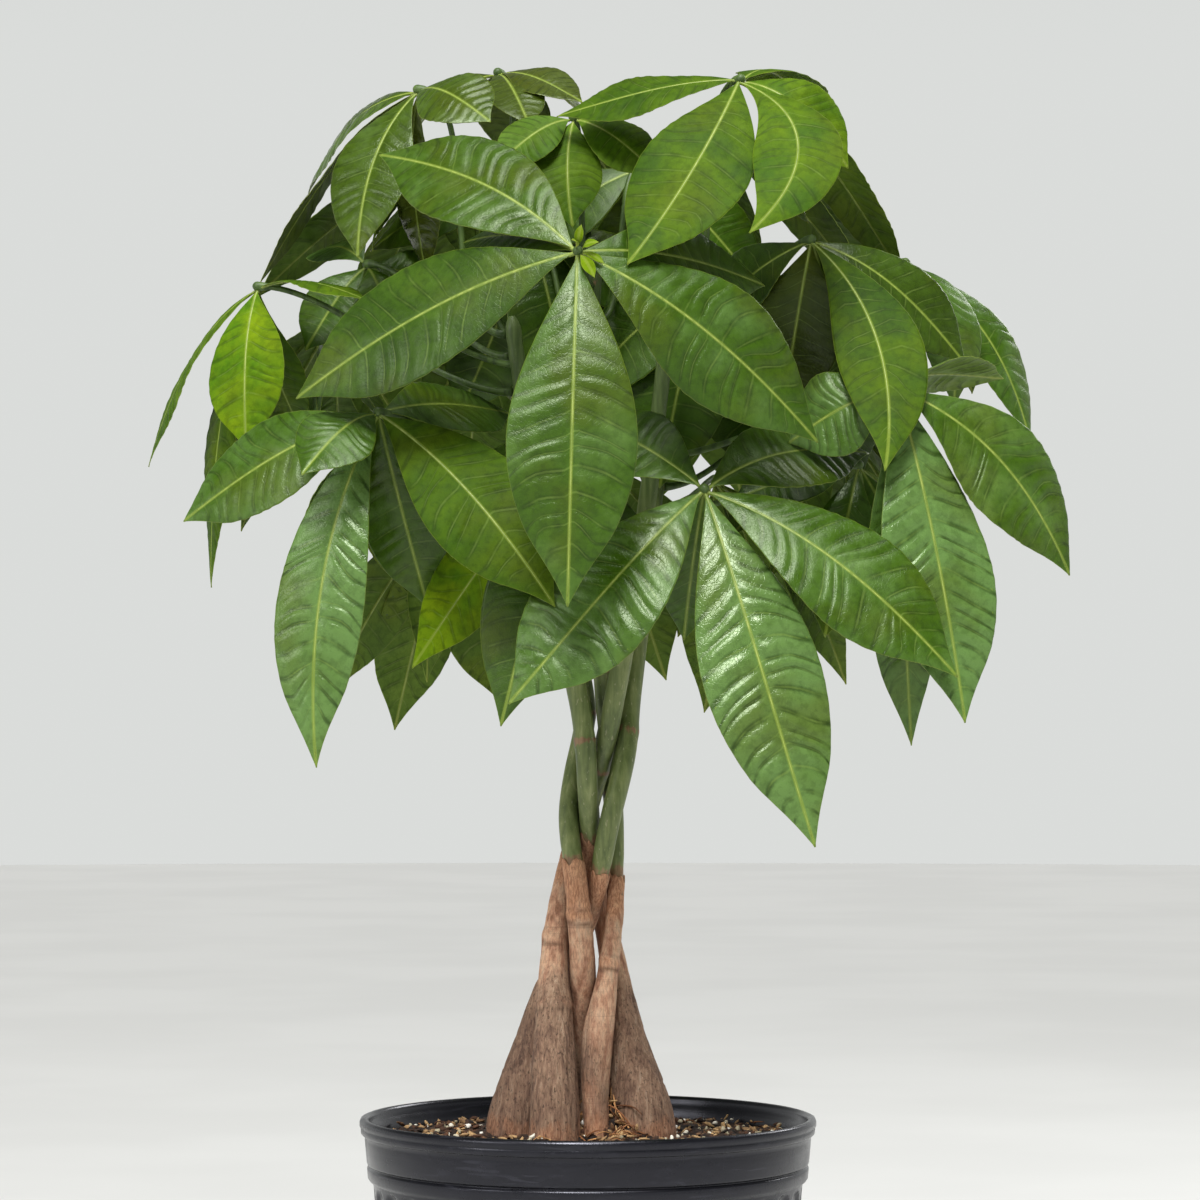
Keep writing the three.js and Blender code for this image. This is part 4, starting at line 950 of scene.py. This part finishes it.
class Blade:
    """One leaflet: its frame from root to tip, with the same lines as its solid."""

    def __init__(self, hub, tip, width, arch, bow, face):
        root = hub + unit(tip - hub) * ROOT_OUT
        self.root, self.width, self.arch, self.bow = root, width, arch, bow
        self.length = float(np.linalg.norm(tip - root))
        self.chord = unit(tip - root)
        face = np.asarray(face, float)
        self.upper = unit(face - self.chord * np.dot(face, self.chord))
        self.side = np.cross(self.chord, self.upper)

    def midrib(self, u):
        u = np.asarray(u, float)[..., None]
        swell = 4 * u * (1 - u)
        place = self.root + self.chord * self.length * u + self.upper * self.arch * swell * (1.3 - 0.6 * u)
        return place + self.side * self.bow * swell

    def axes(self, u):
        tangent = unit(self.midrib(u + 0.01) - self.midrib(u - 0.01))
        side = unit(self.side - tangent * (tangent @ self.side)[..., None])
        return side, np.cross(side, tangent)

    def corners(self, folded):
        """The corners of the blade's solid away from its hub."""
        u = STATIONS[2:]
        side, up = self.axes(u)
        place = self.midrib(u)
        half = self.width / 2 * np.maximum(0.03, share_of(u))
        wave = 0.07 * half * np.sin(9 * u + self.length)
        left = place - side * half[:, None] + up * (wave - 0.09 * half)[:, None]
        right = place + side * half[:, None] + up * (-wave - 0.09 * half)[:, None]
        rows = [left[:-1], right[:-1], place if folded else place[-1:]]
        ups = [up[:-1], up[:-1], up if folded else up[-1:]]
        points, lifts = np.concatenate(rows), np.concatenate(ups) * BLADE_THICKNESS / 2
        return np.concatenate([points + lifts, points - lifts])


def corner_finder(node):
    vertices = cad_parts[node].data.vertices
    tree = KDTree(len(vertices))
    for k, vertex in enumerate(vertices):
        tree.insert(vertex.co / MM, k)
    tree.balance()
    return lambda points: sum(tree.find(p)[2] < CORNER_REACH for p in points) / len(points)


def grown_blades(leaf, found):
    """The leaf's blades, each with the bend that it took."""
    hub, grown = leaf["hub"], []
    for tip, width, arch, bow, face in leaf["blades"]:
        trials = []
        for tip_step in TIP_STEPS:
            end = hub + tip + leaf["depth"] * TIP_STEP * tip_step
            trials += [Blade(hub, end, width, arch + ARCH_STEP * step, bow, face) for step in ARCH_STEPS]
        share, best = max(((found(b.corners(leaf["folded"])), -k) for k, b in enumerate(trials)))
        if share < 0.5:
            print("blade not found", leaf["name"], tip, share)
        grown.append(trials[-best])
    return grown


def stalk_line(leaf, sideways, rise, count=33):
    stem = STEMS[leaf["stem"]]
    axis = stem_at(stem, leaf["start"])
    hub = leaf["hub"]
    out = unit([hub[0] - axis[0], hub[1] - axis[1], 0])
    across = np.array([-out[1], out[0], 0])
    start = axis + out * (along(stem["radii"], leaf["start"]) + SEAT + 0.25)
    span = np.linalg.norm(start - hub)
    first = start + out * 0.3 * span + across * sideways
    second = hub - out * 0.28 * span + across * sideways + np.array([0, 0, rise])
    t = np.linspace(0, 1, count)[:, None]
    return (1 - t) ** 3 * start + 3 * t * (1 - t) ** 2 * first + 3 * t ** 2 * (1 - t) * second + t ** 3 * hub


def stalk_corners(leaf, bend):
    """Where the first ring of the stalk's solid has its corners."""
    line = stalk_line(leaf, *bend, count=1001)
    across = unit([-leaf["hub"][1], leaf["hub"][0], 0])
    tangent = unit(line[1] - line[0])
    u = unit(across - tangent * np.dot(across, tangent))
    return line[0] + 1.5 * STALK_RADIUS * ring(5, tangent, u)


def add_blade(shape, blade, folded, tone, young):
    columns = np.array(HALF_COLUMNS[folded])
    v = np.concatenate([-columns[:0:-1], columns])
    veins = int(np.clip(round(8 + blade.length / 18), 10, 20))
    s = np.linspace(0, 1, veins * ROWS_A_VEIN[folded] + 1)
    # S counts the side veins from root to tip, V runs across, and U is the place along the midrib.
    S, V = np.meshgrid(s, v, indexing="ij")
    middle = 4 * S * (1 - S)
    wander = 0.2 * np.sin(1.7 * veins * S + blade.length) + 0.15 * np.clip(12 * V, -1, 1)
    places = np.stack([S * blade.length / 21, 1.6 * V + 7, blade.length + 0 * S], -1)
    wander = wander + 0.7 * noise(places, 51)
    U = S + middle * (wander / veins + VEIN_SWEEP * np.abs(V) ** 1.2)
    side, up = blade.axes(U.ravel())
    side, up = side.reshape(*U.shape, 3), up.reshape(*U.shape, 3)
    half = blade.width / 2 * np.maximum(0.012, share_of(U) * (1 - 0.3 * smooth((U - 0.78) / 0.22)))
    wave = 0.07 * half * np.sin(9 * U + blade.length)
    fold = np.abs(V) ** 1.1 if folded else 0.75 + 0.25 * np.abs(V)
    lift = -V * wave - 0.09 * half * fold
    # The skin swells between two side veins, ripples at the margin and sinks along the midrib.
    turn = np.mod(veins * S, 1)
    crest = np.sin(np.pi * turn) ** 0.7
    spread = smooth((np.abs(V) - 0.02) / 0.2) * smooth((1.02 - np.abs(V)) / 0.22)
    quilt = QUILTING * (0.75 + tone) * (1 + 0.45 * noise(places * (1, 1.5, 1), 52)) * half * crest * spread
    ripple = 0.012 * half * np.sin(2 * np.pi * veins * S + 0.6) * np.abs(V) ** 4
    groove = -0.25 * bell(np.abs(V) * half, 1.1)
    flat = blade.midrib(U) + side * (V * half)[..., None]
    thick = SKIN * (1 - 0.45 * np.abs(V) ** 3)
    top = flat + up * (lift + quilt + ripple + groove + thick)[..., None]
    ridge = 0.22 * (turn < 0.01) * spread
    under = flat + up * (lift + quilt + ripple + groove - thick - ridge)[..., None]
    values = {"vein": veins * S, "out": np.abs(V) * half, "rim": (1 - np.abs(V)) * half}
    values = {key: np.tile(value.ravel(), 2) for key, value in values.items()}
    rows, cols = U.shape
    low = rows * cols
    face = grid_faces(rows, cols)
    number = np.arange(low).reshape(rows, cols)
    rim = np.concatenate([number[0], number[1:, -1], number[-1, -2::-1], number[-2::-1, 0]])
    a, b = rim[:-1], rim[1:]
    others = np.concatenate([face[:, ::-1] + low, np.stack([a, a + low, b + low, b], -1)])
    kinds = np.repeat([4 if young > SOFT_FROM else 0, 1], [len(face), len(others)])
    points = np.concatenate([top.reshape(-1, 3), under.reshape(-1, 3)])
    shape.add(points, np.concatenate([face, others]), kinds, tone=tone, young=young, **values)


def add_rib(shape, blade, folded):
    u = np.linspace(0, 0.97, 26)
    side, up = blade.axes(u)
    half = blade.width / 2 * share_of(u)
    size = np.clip(blade.width / 55, 0.75, 1.2)
    radius = (0.9 * (1 - u) ** 0.7 + 0.12) * size
    drop = 0.78 * radius + (0 if folded else 0.0675 * half)
    line = blade.midrib(u) - up * drop[:, None]
    line = np.concatenate([[blade.root - blade.chord * ROOT_OUT], line])
    add_tube(shape, tube(line, np.append(radius[:1], radius), 8, blade.upper), 2)


def add_stalk(shape, line):
    t = np.linspace(0, 1, len(line))
    radius = STALK_RADIUS * along(STALK_SWELL, t)
    end = unit(line[-1] - line[-2])
    reach = np.linalg.norm(line - line[-1], axis=1)
    radius = radius + (KNUCKLE - radius) * smooth((9 - reach) / 9)
    out, thick = np.array(NOSE).T * KNUCKLE
    line = np.concatenate([line, line[-1] + out[:, None] * end])
    radius = np.append(radius, thick)
    add_tube(shape, tube(line, radius, 14, (0.11, 0.17, 1)), 3)


# How young and bright a leaf is, and single blades of it that differ.
YOUNG = {"leaf_crown_front": 0.35, "leaf_crown": -0.35, "leaf_top_right": 0.3, "leaf_far_left": 0.3,
         "leaf_top_left": -0.35, "leaf_inner_right": -0.2}
YOUNG_BLADES = {("leaf_top_right", 1): 0.4, ("leaf_far_left", 0): 0.95, ("leaf_inner_right", 0): 0.26,
                ("leaf_inner_low", 1): 1.1, ("leaf_left", 0): 0.25}
# How grey and light a leaf is, and single blades of it that differ: a high tone is a painted sheen on blades
# that catch the light.
LEAF_TONE_SHEEN = {"leaf_front_centre": 0.3, "leaf_top_right": 0.25, "leaf_far_left": 0.35, "leaf_inner_back": 0.15,
         "leaf_inner_middle": 0.1, "leaf_inner_high": 0.15, "leaf_inner_low": 0.2, "leaf_low_centre": 0.5,
         "leaf_right": 0.6, "leaf_inner_right": 0.15}
BLADE_TONE_SHEEN = {("leaf_low_centre", 0): 1.0, ("leaf_left", 2): 1.0, ("leaf_left", 0): 0.3,
               ("leaf_right", 0): 1.0}

# The bright new shoot in the front leaf's hub: the tip and width of each of its small blades.
SHOOT = [((2, -7, 13), 5), ((11, -6, 4), 6), ((9, -8, -15), 7), ((14, -3, -7), 5), ((-3, -9, 5), 4)]


def make_leaf(leaf):
    name = leaf["name"]
    found = corner_finder(name)
    bend = max(STALK_BENDS, key=lambda b: found(stalk_corners(leaf, b)))
    shape = Shape()
    if name == "leaf_front_centre":
        for tip, width in SHOOT:
            bud = Blade(leaf["hub"], leaf["hub"] + tip, width, 2, 0, FRONT)
            add_blade(shape, bud, PLAIN, 0.2, 1.3)
    add_stalk(shape, stalk_line(leaf, *bend))
    for k, blade in enumerate(grown_blades(leaf, found)):
        young = YOUNG_BLADES.get((name, k), YOUNG.get(name, 0.0) + RNG.uniform(-0.1, 0.15))
        tone = BLADE_TONE_SHEEN.get((name, k), LEAF_TONE_SHEEN.get(name, 0.45) + RNG.uniform(-0.15, 0.15))
        add_blade(shape, blade, leaf["folded"], tone, young)
        add_rib(shape, blade, leaf["folded"])
    piece("palmate_" + name, shape, [UPPER, UNDER, RIB, STALK, SOFT], "leaf", name)


for leaf in LEAVES:
    make_leaf(leaf)


# ---- camera, floor and light ----
SENSOR = 36
PHOTO_PIXELS = 1200
FOCAL_PIXELS = 4120
CAMERA_PLACE = (6.7, -2300, 475.8)
CAMERA_RISE = math.degrees(math.atan(89 / FOCAL_PIXELS))
FLOOR_SHADES = ("#d2d2cf", "#d6d6d3")
LIT_PLACE = (0, 0, 0.6)
SKY_BAND = (0.14, 0.5)
SKY = (0.74, 0.17)  # how bright the studio's wall is below that band of heights and above it


def make_camera():
    data = bpy.data.cameras.new("camera")
    data.sensor_width = SENSOR
    data.lens = SENSOR * FOCAL_PIXELS / PHOTO_PIXELS
    made = put("camera", data)
    made.location = [c * MM for c in CAMERA_PLACE]
    made.rotation_euler = (math.radians(90 + CAMERA_RISE), 0, 0)
    bpy.context.scene.camera = made


def make_floor():
    shape = Shape()
    line = np.array([[0, 0, -40.0], [0, 0, -0.4]])
    add_tube(shape, tube(line, 9000, 96, (1, 0, 0)))
    mesh = shape.mesh("floor")
    mesh.shade_flat()
    p = Paint("pale_floor", Roughness=0.9)
    mesh.materials.append(p.finish(p.ramp(p.noise(2), (0.4, FLOOR_SHADES[0]), (0.6, FLOOR_SHADES[1]))))
    put("floor", mesh)


def area_light(name, place, size, power):
    """A round soft light that shines at the middle of the leaves."""
    data = bpy.data.lights.new(name, "AREA")
    data.shape = "DISK"
    data.size = size
    data.energy = power
    made = put(name, data)
    made.location = place
    x, y, z = np.array(place) - LIT_PLACE
    made.rotation_euler = (math.atan2(math.hypot(x, y), z), 0, math.atan2(x, -y))


def make_light():
    world = bpy.data.worlds.new("studio")
    bpy.context.scene.world = world
    world.use_nodes = True
    nodes, links = world.node_tree.nodes, world.node_tree.links
    height = nodes.new("ShaderNodeSeparateXYZ")
    links.new(nodes.new("ShaderNodeTexCoord").outputs["Generated"], height.inputs[0])
    level = nodes.new("ShaderNodeMapRange")
    level.interpolation_type = "SMOOTHSTEP"
    for key, value in enumerate((*SKY_BAND, *SKY), 1):
        level.inputs[key].default_value = value
    links.new(height.outputs["Z"], level.inputs[0])
    links.new(level.outputs[0], nodes["Background"].inputs["Strength"])
    nodes["Background"].inputs["Color"].default_value = (0.95, 0.97, 0.95, 1)
    sun = put("sun", bpy.data.lights.new("sun", "SUN"))
    sun.data.energy = 3.1
    sun.data.angle = math.radians(20)
    sun.rotation_euler = (math.radians(38), 0, math.radians(-10))
    area_light("top", (0.2, -0.45, 2.4), 1.0, 20)
    area_light("side", (-2.0, -1.4, 1.5), 0.9, 12)
    area_light("back", (1.6, 1.9, 1.9), 0.9, 16)


make_camera()
make_floor()
make_light()
bpy.context.scene.view_settings.view_transform = "Standard"
